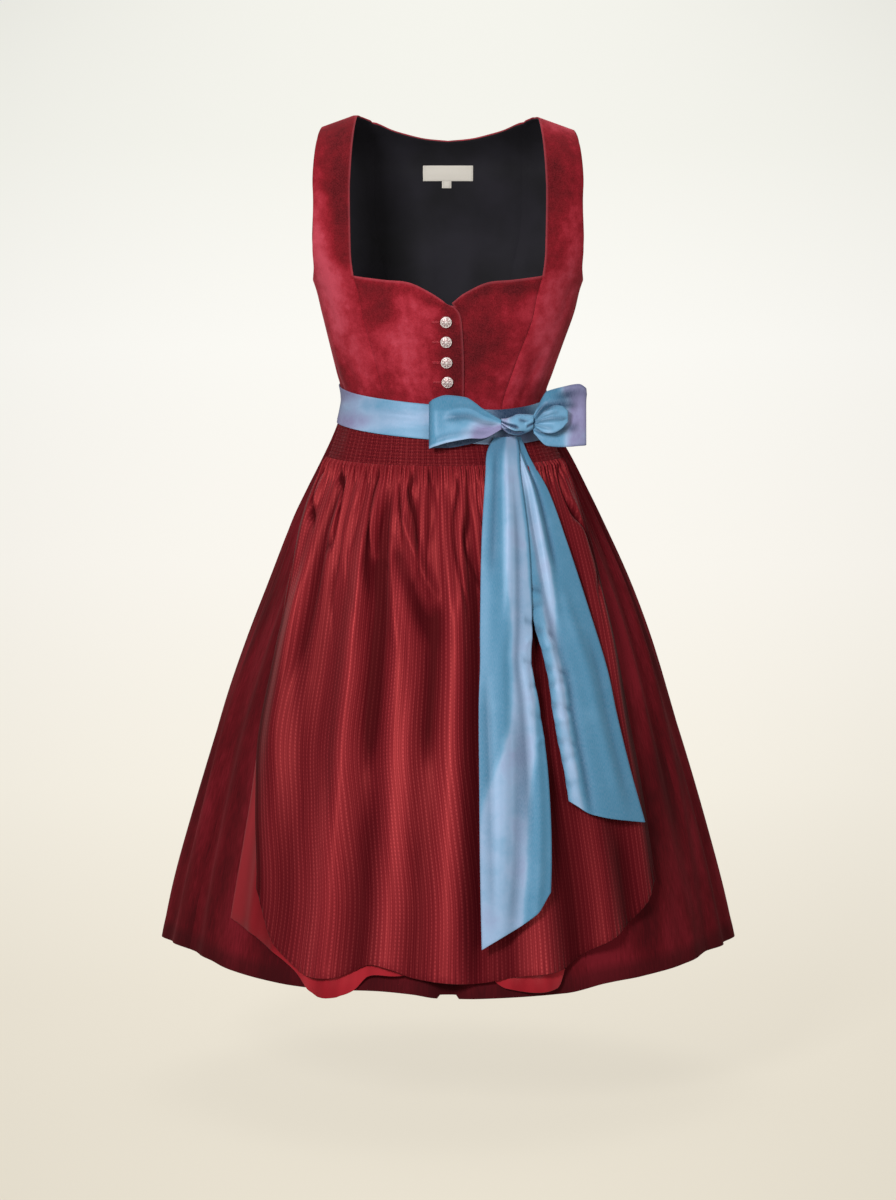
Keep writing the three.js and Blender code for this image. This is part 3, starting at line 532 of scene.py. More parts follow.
def side_back(side, columns):
    height = SIDE_ROWS
    beside_neck = height > BACK_PRINCESS_TOP
    neck = np.interp(height, BACK_NECK["height"][::-1], BACK_NECK["angle"][::-1])
    inner = np.where(beside_neck, neck, beside_seam(BACK_PRINCESS, height, -1))
    armhole = smooth(ARMHOLE, "back", height)
    outer = np.where(height > UNDERARM, armhole, beside_seam(SIDE_SEAM, height, 1))
    return side_panel(outer, inner, inner, beside_neck, side, columns)


def back_centre(side, columns):
    u, v = grid(columns, 70)
    nominal = 180 + (2 * u - 1) * (180 - BACK_PRINCESS)
    top = smooth(BACK_NECK, "height", 180 - np.abs(nominal - 180))
    height = between(top, WAIST_SEAM, v)
    first = beside_seam(BACK_PRINCESS, height, 1)
    return first + (360 - 2 * first) * u, height, top - height


def centre_front(side, columns):
    u, v = grid(columns, 60)

    def angles(height):
        seam = beside_seam(princess(height), height, -1)
        closing = smooth(CLOSING_EDGE, "angle", height)
        if side < 0:
            return between(-seam, closing, u)
        clear = closing + UNDERLAP["clear"]
        up = closing + UNDERLAP["rise"]
        lap = between(UNDERLAP["angle"], clear, np.clip(u / 0.25, 0, 1))
        turn = (up - clear) * np.clip((u - 0.25) / 0.2, 0, 1)
        return lap + turn + (seam - up) * np.clip((u - 0.45) / 0.55, 0, 1)

    top_angle = angles(np.full(u.shape, SWEETHEART["height"][0]))
    top = smooth(SWEETHEART, "height", np.abs(top_angle))
    if side > 0:
        top = top - 3 * (1 - step(top_angle, 0, UNDERLAP["rise"]))
    height = between(top, WAIST_SEAM, v)
    angle = angles(height)
    free = top - height
    if side < 0:
        closing = smooth(CLOSING_EDGE, "angle", height)
        free = np.minimum(free, (closing - angle) * per_degree(angle, height))
    return angle, height, free


def bodice_lift(panel, side, angle, height):
    """How the velvet lies on the form: its pulls, its seam grooves, and the left front's step down under the
    right one."""
    lift = creases(BODICE_PULLS, from_right(angle), height)
    away = np.abs(from_back(angle))
    scale = per_degree(angle, height)
    seams = (princess(height), STRAP_FOOT), (SIDE_SEAM, UNDERARM), (BACK_PRINCESS, BACK_PRINCESS_TOP)
    for seam, top in seams:
        near = bell((away - seam) * scale, SEAM_GROOVE["width"])
        lift = lift - SEAM_GROOVE["depth"] * near * (height <= top)
    if panel is centre_front and side > 0:
        closing = smooth(CLOSING_EDGE, "angle", height)
        up = step(angle, closing + UNDERLAP["clear"], closing + UNDERLAP["rise"])
        lift = lift - UNDERLAP["drop"] * (1 - up)
    return lift


BODICE_PANELS = [
    ("front_right", centre_front, -1, 44),
    ("front_left", centre_front, 1, 52),
    ("side_front_right", side_front, -1, 30),
    ("side_front_left", side_front, 1, 30),
    ("side_back_right", side_back, -1, 30),
    ("side_back_left", side_back, 1, 30),
    ("back_centre", back_centre, 1, 40),
]
velvet = velvet_finish()
for name, panel, side, columns in BODICE_PANELS:
    angle, height, free = panel(side, columns)
    face = on_form(angle, height, bodice_lift(panel, side, angle, height))
    # a painted highlight along the velvet's free edges: the turned neck edges and the right front's closing
    # edge
    edge = 0.3 * bell(free, PAINTED_EDGE_HIGHLIGHT)
    # a darker band about 9 mm in from the front panels' free edges
    darker_by_front_edges = 0.55 * bell(free - 9, 8) if panel is centre_front else 0
    nap = brushed_nap(angle, height) - darker_by_front_edges
    piece = cloth_mesh("velvet_" + name, face, VELVET, velvet, edge=edge, nap=nap)
    wear(piece, name, face)

# ---- bodice lining -------------------------------------------------------------------------------
# The same seven panels in a plain dark navy cotton, which shows through the neck opening. It is bagged out
# with the velvet, so it lies close behind it and stops a little short of the velvet's turned edge.


def lining_finish():
    """Plain navy cotton, nearly black, with a fine twill line."""
    material, add, give = new_finish("lining", Roughness=0.75, Specular_IOR_Level=0.25, Sheen_Weight=0.12,
                                     Sheen_Roughness=0.5, Sheen_Tint=dye("625e6c"))
    place = add("TexCoord", out=3)
    cloudy = add("TexNoise", place, ("Scale", 14.0), ("Detail", 3.0))
    colour = ramp(add, cloudy, (0.35, "131217"), (0.65, "1f1d25"))
    slanted = add("Mapping", place, ("Rotation", (0, 0.8, 0.8)))
    twill = add("TexWave", slanted, ("Scale", 420.0), ("Distortion", 0.4))
    give(Base_Color=colour, Normal=relief(add, twill, 0.25, 0.0003))
    return material


LINING = 1.0
LINING_STOPS = -9.5  # the right lining stops short of the underlap
# Slack in the lining: long soft folds that hang from the shoulders and run down to the waist.
LINING_SLACK = table(
    "first last start end width depth",
    (168, 172, -60, -330, 2.6, -1.4),
    (163, 150, 0, -300, 3.0, -1.2),
    (190, 186, -100, -340, 2.6, -1.3),
    (201, 208, -10, -320, 3.2, -1.3),
    (216, 222, -120, -345, 3.0, -1.2),
    (140, 146, -90, -340, 3.2, -1.4),
)
lining = lining_finish()
for name, panel, side, columns in BODICE_PANELS:
    angle, height, free = panel(side, columns // 2)
    if name == "front_right":
        seam = beside_seam(princess(height), height, -1)
        angle = between(-seam, LINING_STOPS, np.linspace(0, 1, columns // 2 + 1))
    lift = bodice_lift(panel, side, angle, height) - VELVET - SEAM_GAP
    slack = np.minimum(0, creases(LINING_SLACK, from_right(angle), height))
    face = on_form(angle, height, lift + slack)
    piece = cloth_mesh("lining_cloth_" + name, face, LINING, lining)
    wear(piece, "lining_" + name, face)

# ---- neck label and size tab ---------------------------------------------------------------------
# A narrow woven label with its ends turned under, and a small tab below it, both left bare and tacked to
# the back lining with small stitches in a paler thread.


def label_finish():
    """A close satin-woven label in off-white."""
    material, add, give = new_finish("label_cloth", Roughness=0.6, Specular_IOR_Level=0.35)
    cut = add("UVMap", uv_map="cut")
    weave = add("TexWave", cut, ("Scale", 900.0), ("Distortion", 1.0))
    give(Base_Color=ramp(add, weave, (0.2, "cfc9bf"), (0.8, "e4dfd6")))
    give(Normal=relief(add, weave, 0.4, 0.0002))
    return material


def stitch_tree():
    """Sets one small rounded stitch or bead on each point, turned to the direction kept there as its aim."""
    tree = bpy.data.node_groups.new("row_of_stitches", "GeometryNodeTree")
    inputs = {"Points": "Geometry", "Length": "Float", "Thickness": "Float", "Finish": "Material"}
    for name, kind in inputs.items():
        tree.interface.new_socket(name, in_out="INPUT", socket_type="NodeSocket" + kind)
    tree.interface.new_socket("Stitches", in_out="OUTPUT", socket_type="NodeSocketGeometry")

    def add(kind, **settings):
        made = tree.nodes.new(kind)
        for setting, value in settings.items():
            setattr(made, setting, value)
        return made

    given, result = add("NodeGroupInput"), add("NodeGroupOutput")
    bead = add("GeometryNodeMeshUVSphere")
    bead.inputs["Segments"].default_value = 6
    bead.inputs["Rings"].default_value = 4
    bead.inputs["Radius"].default_value = 0.5
    aim = add("GeometryNodeInputNamedAttribute", data_type="FLOAT_VECTOR")
    aim.inputs["Name"].default_value = "aim"
    turn = add("FunctionNodeAlignRotationToVector", axis="X")
    size = add("ShaderNodeCombineXYZ")
    place = add("GeometryNodeInstanceOnPoints")
    real = add("GeometryNodeRealizeInstances")
    soft = add("GeometryNodeSetShadeSmooth")
    coat = add("GeometryNodeSetMaterial")
    for out, into in (
        (given.outputs["Length"], size.inputs["X"]),
        (given.outputs["Thickness"], size.inputs["Y"]),
        (given.outputs["Thickness"], size.inputs["Z"]),
        (aim.outputs["Attribute"], turn.inputs["Vector"]),
        (given.outputs["Points"], place.inputs["Points"]),
        (bead.outputs["Mesh"], place.inputs["Instance"]),
        (turn.outputs["Rotation"], place.inputs["Rotation"]),
        (size.outputs["Vector"], place.inputs["Scale"]),
        (place.outputs["Instances"], real.inputs["Geometry"]),
        (real.outputs["Geometry"], soft.inputs["Geometry"]),
        (soft.outputs["Geometry"], coat.inputs["Geometry"]),
        (given.outputs["Finish"], coat.inputs["Material"]),
        (coat.outputs["Geometry"], result.inputs["Stitches"]),
    ):
        tree.links.new(out, into)
    return tree


stitching = stitch_tree()


def stitches(name, points, aims, length, thickness, finish):
    """A row of stitches or beads, one on each point, made real and joined to one piece. The aims are one
    direction for them all, or one for each."""
    mesh = bpy.data.meshes.new(name)
    mesh.from_pydata(np.asarray(points) * MM, [], [])
    aims = np.broadcast_to(aims, np.shape(points)).astype(float)
    mesh.attributes.new("aim", "FLOAT_VECTOR", "POINT").data.foreach_set("vector", aims.ravel())
    piece = set_down(name, mesh)
    rows = piece.modifiers.new("rows", "NODES")
    rows.node_group = stitching
    sizes = {"Length": length * MM, "Thickness": thickness * MM, "Finish": finish}
    for socket in stitching.interface.items_tree:
        if socket.in_out == "INPUT" and socket.name in sizes:
            rows[socket.identifier] = sizes[socket.name]
    made = piece.evaluated_get(bpy.context.evaluated_depsgraph_get())
    piece.data = bpy.data.meshes.new_from_object(made)
    piece.modifiers.remove(rows)
    piece.data.name = name
    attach(piece, "root")
    return piece


LINING_FACE = -(VELVET + SEAM_GAP + LINING)
LABELS = [
    ("neck_label", "woven_label", 189.3, 170.7, -70, -89, 30),
    ("size_tab", "woven_size_tab", 182.2, 178.8, -89.6, -98, 8),
]
LABEL_CLOTH = 0.5
LABEL_LIES = LINING_FACE - 0.9
TACKS = 7  # stitches down each end of a label
TACKS_INSET = {"angle": 0.6, "height": 0.9}
UPRIGHT = (0, 0, 1.0)  # the way that an upright stitch runs
label_cloth = label_finish()
for node, name, first, last, top, foot, columns in LABELS:
    u, v = grid(columns, 8)
    curl = 0.25 * np.cos(math.pi * (2 * u - 1)) * np.sin(math.pi * v)
    face = on_form(between(first, last, u), between(top, foot, v), LABEL_LIES - curl)
    piece = cloth_mesh(name, face, LABEL_CLOTH, label_cloth)
    sheet = face if node == "neck_label" else None  # the tab is too small to be passed as a sheet
    wear(piece, node, sheet)
    side = np.linspace(top - TACKS_INSET["height"], foot + TACKS_INSET["height"], TACKS)
    ends = np.repeat([first - TACKS_INSET["angle"], last + TACKS_INSET["angle"]], TACKS)
    spots = on_form(ends, np.tile(side, 2), np.full(2 * TACKS, LINING_FACE - 1.2))
    stitches(name + "_tacking", spots, UPRIGHT, 1.7, 0.45, label_cloth)

# ---- buttons and buttonholes ---------------------------------------------------------------------
# Four cast buttons of silvery metal, domed, with a rope of beads round the rim and filigree petals round a
# boss. Each sits on the right front beside a buttonhole worked in matching thread.


def silver_finish():
    """Cast metal with a worn silver wash, darker in its hollows."""
    material, add, give = new_finish("silver", Metallic=0.35, Roughness=0.34)
    place = add("TexCoord", out=3)
    worn = add("TexNoise", place, ("Scale", 700.0), ("Detail", 3.0))
    bright = ramp(add, worn, (0.3, "e6dad6"), (0.7, "fffaf6"))
    give(Base_Color=mixed(add, tone(add, "hollow"), bright, dye("8f5a5e")))
    give(Normal=relief(add, worn, 0.2, 0.0002))
    return material


def thread_finish():
    """Red silk thread for the buttonholes and the sewing."""
    material, add, give = new_finish("red_thread", Roughness=0.5, Specular_IOR_Level=0.4)
    place = add("TexCoord", out=3)
    twist = add("TexNoise", place, ("Scale", 1500.0), ("Detail", 1.0))
    give(Base_Color=ramp(add, twist, (0.3, "8c1a26"), (0.7, "bb3342")))
    return material


BUTTON_STAND = 0.5
BUTTON_PROFILE = table(
    "share radius rise",
    (0, 0, 0),
    (0.12, 5.2, 0),
    (0.3, 6.9, 0.9),
    (0.38, 6.75, 1.6),
    (0.48, 5.8, 2.0),
    (0.6, 4.6, 2.3),
    (0.8, 2.6, 3.3),
    (1, 0, 3.7),
)
BUTTONS = table("height angle", (-240, -0.9), (-264.5, -0.4), (-290, 0.4), (-314.5, 1.4))
BUTTONHOLE = {"from": 8.6, "long": 8.4, "half": 0.75, "spacing": 0.55}
BEAD_RINGS = table("radius rise count size", (6.25, 2.0, 26, 1.25), (3.0, 3.25, 12, 0.95), (0, 3.9, 1, 2.0))
PETALS = 8
PETAL_RING = {"radius": 4.5, "width": 1.1, "rise": 0.55}
BUTTON_SIDES = 64
BUTTON_RINGS = 33  # from the boss to the back
TURN = 2 * math.pi  # once round

silver = silver_finish()
thread = thread_finish()
for number, (height, angle) in enumerate(zip(*BUTTONS.values()), 1):
    foot = on_form(angle, height, BUTTON_STAND)
    out_way = unit(on_form(angle, height, BUTTON_STAND + 1) - foot)
    right_way = unit(np.cross((0, 0, 1.0), out_way))
    up_way = np.cross(out_way, right_way)
    axes = np.stack([right_way, up_way, out_way])

    def at(radius, turn, rise):
        flat = np.stack(np.broadcast_arrays(radius * np.cos(turn), radius * np.sin(turn), rise), -1)
        return foot + flat @ axes

    turn, share = np.meshgrid(np.linspace(0, TURN, BUTTON_SIDES + 1), np.linspace(1, 0, BUTTON_RINGS))
    radius = smooth(BUTTON_PROFILE, "radius", share)
    ring_relief = bell(radius - PETAL_RING["radius"], PETAL_RING["width"]) * (share > 0.5)
    petals = ring_relief * (0.5 + 0.5 * np.cos(PETALS * turn))
    face = at(radius, turn, smooth(BUTTON_PROFILE, "rise", share) + PETAL_RING["rise"] * petals)
    hollow = 1 - petals - step(radius, 5.4, 6.0) - step(-radius, -2.4, -1.4)
    hollow = np.clip(hollow, 0, 0.8) * (share > 0.4)
    ids = np.arange(BUTTON_RINGS * BUTTON_SIDES).reshape(BUTTON_RINGS, BUTTON_SIDES)
    ids[0] = 0
    ids[-1] = ids[-1, 0]
    faces = [list(dict.fromkeys(quad)) for quad in patches(np.concatenate([ids, ids[:, :1]], 1)).tolist()]
    mesh = bpy.data.meshes.new(f"cast_button_{number}")
    mesh.from_pydata(face[:, :BUTTON_SIDES].reshape(-1, 3) * MM, [], faces)
    button = finished(mesh, silver, hollow=hollow[:, :BUTTON_SIDES].ravel())
    wear(button, f"button_{number}")
    for row, (radius, rise, count, size) in enumerate(zip(*BEAD_RINGS.values())):
        spots = at(radius, np.linspace(0, TURN, int(count), endpoint=False), rise)
        stitches(f"button_beads_{number}_{row}", spots, (1.0, 0, 0), size, size, silver)
    petal_turn = np.linspace(0, TURN, 14, endpoint=False)
    loops = []
    for petal in range(PETALS):
        centre = TURN * petal / PETALS
        radius = 4.55 + 1.0 * np.cos(petal_turn)
        loops.append(at(radius, centre + 0.22 * np.sin(petal_turn), 3.0 + (4.6 - radius) * 0.35))
    wires = np.concatenate(loops)
    aims = np.roll(wires, -1, 0) - wires
    stitches(f"button_wires_{number}", wires, aims, 0.62, 0.42, silver)
    across = np.arange(0, BUTTONHOLE["long"], BUTTONHOLE["spacing"])
    spots = []
    for edge in (-1, 1):
        where = angle - (BUTTONHOLE["from"] + across) / per_degree(angle, height)
        spots.append(on_form(where, height + edge * BUTTONHOLE["half"], np.full(len(across), 0.3)))
    stitches(f"buttonhole_{number}", np.concatenate(spots), (0.15, 0, 1.0), 1.7, 0.75, thread)

# ---- skirt ---------------------------------------------------------------------------------------
# Four panels of matt wine-red cotton. They are gathered into the waist from the apron's sides round the
# back, where the fine gathers melt into long soft folds, and they lie smooth under the apron. The hem is a
# wide turned-up band.


def stretched_noise(add, cut, across, along, **settings):
    """Noise that follows the cloth, with so many cells to a metre across it and along it."""
    stretched = add("Mapping", cut, ("Scale", (across, along, 1.0)))
    return add("TexNoise", stretched, ("Scale", 1.0), *settings.items())


def skirt_finish():
    """Matt wine-red cotton with a fine lengthways slub."""
    material, add, give = new_finish("skirt_cloth", Roughness=0.85, Specular_IOR_Level=0.1, Sheen_Weight=0.12,
                                     Sheen_Roughness=0.5, Sheen_Tint=dye("d0525a"))
    cut = add("UVMap", uv_map="cut")
    slub = stretched_noise(add, cut, 460.0, 60.0, Detail=4.0)
    cloudy = stretched_noise(add, cut, 14.0, 5.0, Detail=3.0)
    both = sums(add, slub, ("MULTIPLY_ADD", 0.3, sums(add, cloudy, ("MULTIPLY", 0.7))))
    colour = ramp(add, both, (0.38, "43070e"), (0.5, "5a0c15"), (0.62, "721722"))
    height = sums(add, slub, ("ADD", stretched_noise(add, cut, 1400.0, 1400.0)))
    give(Base_Color=mixed(add, tone(add, "hem"), colour, dye("35080d")))
    give(Normal=relief(add, height, 0.3, 0.0005))
    return material


SKIRT_CLOTH = 1.4
SKIRT_TOP = -358.4
SKIRT_HEM = -1033
GATHERS = 38
GATHERS_FROM = 62
HEM_BAND = 14  # the turned-up hem, mm
HEM_RISE = table(
    "angle rise",
    (-180, 2),
    (-110, 6),
    (-90, 8),
    (-73, 16),
    (-60, 15),
    (-50, 9),
    (-38, 5),
    (-26, 4),
    (-14, 7),
    (-7, 5),
    (-2, 1),
    (24, 0),
    (33, 6),
    (45, 8),
    (56, 10),
    (68, 14),
    (90, 8),
    (110, 6),
    (180, 2),
)
HEM_NOTCH = {"angle": 0, "width": 2.6, "depth": 11, "from": -850, "half": 1.8, "rise": 5.5}
FOLD_DEPTH = table(
    "height gather fold",
    (-350, 1.5, 0),
    (-400, 3, 0.5),
    (-470, 2.6, 3),
    (-580, 0.8, 5),
    (-700, 0, 6),
    (-1035, 0, 8),
)
# Long folds and creases that the regular ones don't give, round the whole skirt.
SKIRT_FOLDS = table(
    "first last start end width depth",
    (-96, -74, -380, -1160, 3.6, -2.5),
    (-86, -66, -400, -1100, 2.8, 1.9),
    (-78, -58, -430, -1180, 3.4, -2.8),
    (-106, -84, -420, -1120, 3.1, 1.9),
    (74, 58, -372, -1060, 3.1, -2.8),
    (68, 54, -385, -980, 2.2, 1.9),
    (84, 66, -380, -1180, 3.6, -3.3),
    (79, 63, -420, -1140, 2.2, 2.2),
    (94, 75, -400, -1150, 3.4, -2.5),
    (104, 86, -430, -1180, 3.4, 2.2),
    (118, 112, -420, -1120, 3.6, -2.5),
    (131, 128, -400, -1020, 3.1, 2.2),
    (146, 141, -450, -1180, 3.9, -2.8),
    (158, 160, -400, -1060, 3.4, 1.9),
    (171, 168, -420, -1180, 3.6, -3),
    (183, 187, -470, -1120, 3.4, 1.9),
    (196, 200, -400, -1160, 3.9, -2.8),
    (209, 214, -430, -1040, 3.1, 2.2),
    (223, 228, -420, -1180, 3.9, -2.8),
    (238, 244, -400, -1100, 3.4, 2.2),
    (20, 24, -860, -1120, 3.1, -2.2),
    (-14, -18, -880, -1120, 3.4, -2.2),
    (36, 42, -820, -1120, 2.8, 2.2),
    (-30, -36, -840, -1130, 3.1, 2.2),
)
SKIRT_PANELS = [
    ("skirt_front", "skirt_cloth_front", -68, 68, 260),
    ("skirt_side_left", "skirt_cloth_left", 68, 138, 220),
    ("skirt_back", "skirt_cloth_back", 138, 222, 250),
    ("skirt_side_right", "skirt_cloth_right", 222, 292, 220),
]


def skirt_lift(angle, height):
    """Gathers, long folds and the pleat at the centre front, all inwards from the form."""
    turned = from_back(angle)
    place = (angle - GATHERS_FROM) / (360 - 2 * GATHERS_FROM)
    uneven = 0.72 + 0.28 * np.sin(np.radians(5 * angle) + 1)
    wander = 0.7 * np.sin(np.radians(7 * angle)) + 0.4 * np.sin(np.radians(13 * angle))

    def wave(count):
        return (1 - np.cos(TURN * count * place + wander)) / 2

    def depth(column):
        return np.interp(-height, -FOLD_DEPTH["height"], FOLD_DEPTH[column])

    fine = depth("gather") * wave(GATHERS)
    fine = fine + 0.5 * depth("gather") * wave(GATHERS * 2.3) * step(-height, 356, 372)
    long = depth("fold") * wave(GATHERS / 2) * uneven
    beyond_apron = step(np.abs(turned), GATHERS_FROM - 12, GATHERS_FROM + 4)
    notch = HEM_NOTCH["depth"] * step(-height, -HEM_NOTCH["from"], -SKIRT_HEM)
    pleat = notch * bell(turned - HEM_NOTCH["angle"], HEM_NOTCH["width"])
    extra = creases(SKIRT_FOLDS, np.where(angle > 255, turned, angle), height)
    return -(fine + long) * beyond_apron - pleat + np.minimum(extra, 1.5 + 0.4 * extra)


skirt_cloth = skirt_finish()
for node, name, first, last, columns in SKIRT_PANELS:
    u, v = grid(columns, 60)
    turned = from_back(between(first, last, u))
    from_notch = np.abs(turned - HEM_NOTCH["angle"])
    notch = 1 - step(from_notch, HEM_NOTCH["half"] - 0.3, HEM_NOTCH["half"] + 0.3)
    foot = SKIRT_HEM + np.maximum(smooth(HEM_RISE, "rise", turned), HEM_NOTCH["rise"] * notch)
    height = between(SKIRT_TOP, foot, v**1.15)
    angle = between(beside_seam(first, height, 1), beside_seam(last, height, -1), u)
    band = step(foot + HEM_BAND - height, 0, 1.5)
    face = on_form(angle, height, skirt_lift(angle, height) + 0.5 * band)
    piece = cloth_mesh(name, face, SKIRT_CLOTH, skirt_cloth, hem=0.6 * band)
    wear(piece, node, face)

# ---- apron underlayer ----------------------------------------------------------------------------
# A plain panel of bright red satin that hangs from the apron's band, between the apron and the skirt. It is
# a little longer than the apron, so it shows beside its right edge and under its hem.


def satin_finish():
    """Red polyester satin: smooth, with a soft wide gloss down its folds, darkened by painted shade where its
    shade tone says.
    """
    material, add, give = new_finish("apron_satin", Roughness=0.36, Specular_IOR_Level=0.45,
                                     Specular_Tint=dye("ff8a8a"), Sheen_Weight=0.1)
    cut = add("UVMap", uv_map="cut")
    cloudy = stretched_noise(add, cut, 16.0, 3.0, Detail=3.0)
    threads = stretched_noise(add, cut, 1500.0, 60.0)
    colour = ramp(add, cloudy, (0.35, "86121e"), (0.65, "b02833"))
    # the shade tone is painted shade, towards 2e0509
    give(Base_Color=mixed(add, tone(add, "shade"), colour, dye("2e0509")))
    give(Normal=relief(add, threads, 0.12, 0.0003))
    return material


APRON_BAND_FOOT = -416
UNDERLAYER = 1.1
UNDERLAYER_LIFT = 2.8
UNDERLAYER_FOLLOWS = 0.7  # how much of the apron's folds the satin takes up
APRON_FOLDS = table(
    "start top hem bow left right rise foot",
    (-440, -52, -37, 0, 7, 4.5, 13, 5),
    (-430, -31, -24.7, 2.4, 5.5, 3, 15, 13),
    (-430, -17, -12, 2, 3.6, 4.5, 13, 12),
    (-430, 2.5, -0.3, 0, 3.6, 4.2, 12, 12),
    (-430, 16, 18.5, 0, 4.5, 4.5, 6, 11),
    (-440, 34, 34, 0, 4, 5, 5, 10),
    (-440, 50, 44, 0, 4, 3, 8, 4),
)
UNDERLAYER_EDGES = table(
    "height first last",
    (-358, -66, 62),
    (-535, -57.5, 52),
    (-700, -53.6, 48),
    (-831, -51.2, 46),
    (-1035, -51.5, 45),
)
UNDERLAYER_HEM = table(
    "across height",
    (0, -962),
    (0.045, -969),
    (0.1, -980),
    (0.2, -1010),
    (0.245, -1032),
    (0.3, -1036),
    (0.34, -1027),
    (0.37, -1009),
    (0.43, -1007),
    (0.5, -1002),
    (0.6, -1002),
    (0.65, -1022),
    (0.76, -1025),
    (0.79, -990),
    (0.9, -968),
    (1, -940),
)


def apron_folds(angle, height):
    """The large folds, which run from the gathers down to the hem and grow as they go."""
    lift = np.zeros(angle.shape)
    for start, top, hem, bow, left, right, rise, foot in zip(*APRON_FOLDS.values()):
        down = np.clip((height - start) / (SKIRT_HEM - start), 0, 1)
        centre = between(top, hem, down) + 4 * bow * down * (1 - down)
        grown = between(rise * step(down, 0, 0.3), foot, step(down, 0.45, 1))
        lift += grown * bell(angle - centre, np.where(angle < centre, left, right))
    return lift


def across_edges(edges, height, share):
    """A place between a table's first and last edge at a height, by its share of the way across."""
    return between(smooth(edges, "first", height), smooth(edges, "last", height), share)


def hung_panel(edges, hem, columns, rows):
    """A panel hung from the band between two side edges, down to a curved hem: its angles, its heights and
    how far across each point lies."""
    u, v = grid(columns, rows)
    height = between(APRON_BAND_FOOT - SEAM_GAP, smooth(hem, "height", u), v**1.35)
    return across_edges(edges, height, u), height, u


# Small ripples where the longer satin bunches under the apron's hem.
UNDERLAYER_RIPPLES = table(
    "first last start end width depth",
    (-45, -44, -820, -1040, 1.6, 2.2),
    (-38, -37, -900, -1060, 1.2, 1.8),
    (-30, -30, -880, -1060, 1.0, -1.6),
    (-24, -24, -900, -1070, 1.3, 2.2),
    (12, 12, -900, -1060, 1.4, 2.0),
    (22, 22, -880, -1060, 1.2, -1.8),
    (29, 30, -860, -1060, 1.5, 2.4),
    (37, 37, -880, -1050, 1.3, 2.0),
)
satin = satin_finish()
angle, height, share = hung_panel(UNDERLAYER_EDGES, UNDERLAYER_HEM, 150, 60)
ripples = np.maximum(-1.0, creases(UNDERLAYER_RIPPLES, angle, height))
lift = UNDERLAYER_LIFT + UNDERLAYER_FOLLOWS * apron_folds(angle, height) + ripples
face = on_form(angle, height, lift)
# painted shade on the satin where the apron hangs over it; below about -1000 mm, under the apron's hem, it is
# left unshaded
painted_shade_under_apron = 0.36 * (1 - step(-height, 985, 1000))
piece = cloth_mesh("apron_satin_panel", face, UNDERLAYER, satin, shade=painted_shade_under_apron)
wear(piece, "apron_underlayer", face)

# ---- apron ---------------------------------------------------------------------------------------
# One wide panel of striped jacquard, gathered into its band in short uneven pleats, which run together into
# a few large folds. Its sides and its curved hem are turned under and sewn by machine, so the hem puckers a
# little.


STRIPE = 0.0072  # between two raised stripes, m
DASH = 0.0046  # from dash to dash along a stripe, m
PINSTRIPE = 0.0024  # between the fine lines of the ground, m


def jacquard_finish():
    """Red jacquard: fine lengthways stripes of small shiny dashes on a duller ground, darkened and dulled by
    painted shade.
    """
    material, add, give = new_finish("apron_jacquard", Specular_Tint=dye("ff6a66"), Sheen_Weight=0.03,
                                     Sheen_Roughness=0.4)
    cut = add("UVMap", uv_map="cut")
    split = add("SeparateXYZ", cut)
    down = split.node.outputs[1]
    stripe = sums(add, split, ("MULTIPLY", TURN / STRIPE), ("SINE",))
    offset = sums(add, split, ("MULTIPLY", 1 / STRIPE), ("FLOOR",), ("MULTIPLY", 2.4))
    along = sums(add, down, ("MULTIPLY_ADD", TURN / DASH, offset), ("SINE",))
    lines = sums(add, split, ("MULTIPLY", TURN / PINSTRIPE), ("SINE",))
    raised = add("MapRange", stripe, 0.55, 0.95, 0.0, 1.0)
    dash = add("MapRange", along, -0.6, 0.5, 0.3, 0.75)
    fine = add("MapRange", lines, -1.0, 1.0, 0.0, 0.3)
    figure = sums(add, raised, ("MULTIPLY", dash), ("MAXIMUM", fine))
    cloudy = stretched_noise(add, cut, 30.0, 4.0, Detail=3.0)
    ground = ramp(add, cloudy, (0.35, "600d18"), (0.65, "72141f"))
    shiny = ramp(add, cloudy, (0.35, "a0333a"), (0.65, "b84649"))
    shade = tone(add, "shade")
    # the kept shade tone is painted shade: it darkens the colour towards 2e0509 and takes away the gloss
    give(Base_Color=mixed(add, shade, mixed(add, figure, ground, shiny), dye("2e0509")))
    give(Specular_IOR_Level=add("MapRange", shade, 0.0, 0.6, 0.75, 0.08))
    give(Roughness=add("MapRange", figure, 0.0, 1.0, 0.5, 0.38))
    give(Normal=relief(add, figure, 0.35, 0.0004))
    return material


APRON_CLOTH = 1.4
APRON_LIFT = 6.8
APRON_GATHERS = 62
APRON_PLEATS = 17
APRON_EDGES = table(
    "height first last",
    (-358, -69, 64),
    (-413, -65.6, 60.5),
    (-535, -56.9, 54.5),
    (-647, -53, 51.5),
    (-747, -51.2, 50),
    (-816, -47.7, 49.4),
    (-920, -43, 48.7),
    (-1020, -43, 48.7),
)
APRON_HEM = table(
    "across height",
    (0, -920),
    (0.053, -974),
    (0.1, -995),
    (0.16, -1013),
    (0.22, -1014),
    (0.265, -1004),
    (0.3, -995),
    (0.35, -999),
    (0.4, -1009),
    (0.515, -1015),
    (0.61, -1009),
    (0.717, -1004),
    (0.775, -987),
    (0.86, -970),
    (0.956, -939),
    (1, -913),
)
APRON_GATHER_DEPTH = table(
    "height fine pleat",
    (-416, 1.2, 0.4),
    (-422, 2.8, 2.5),
    (-430, 1.6, 6),
    (-442, 0.4, 9),
    (-470, 0, 9),
    (-515, 0, 4.5),
    (-590, 0, 0.8),
    (-680, 0, 0),
)
APRON_HEM_TURN = 9  # mm of cloth turned under along the hem
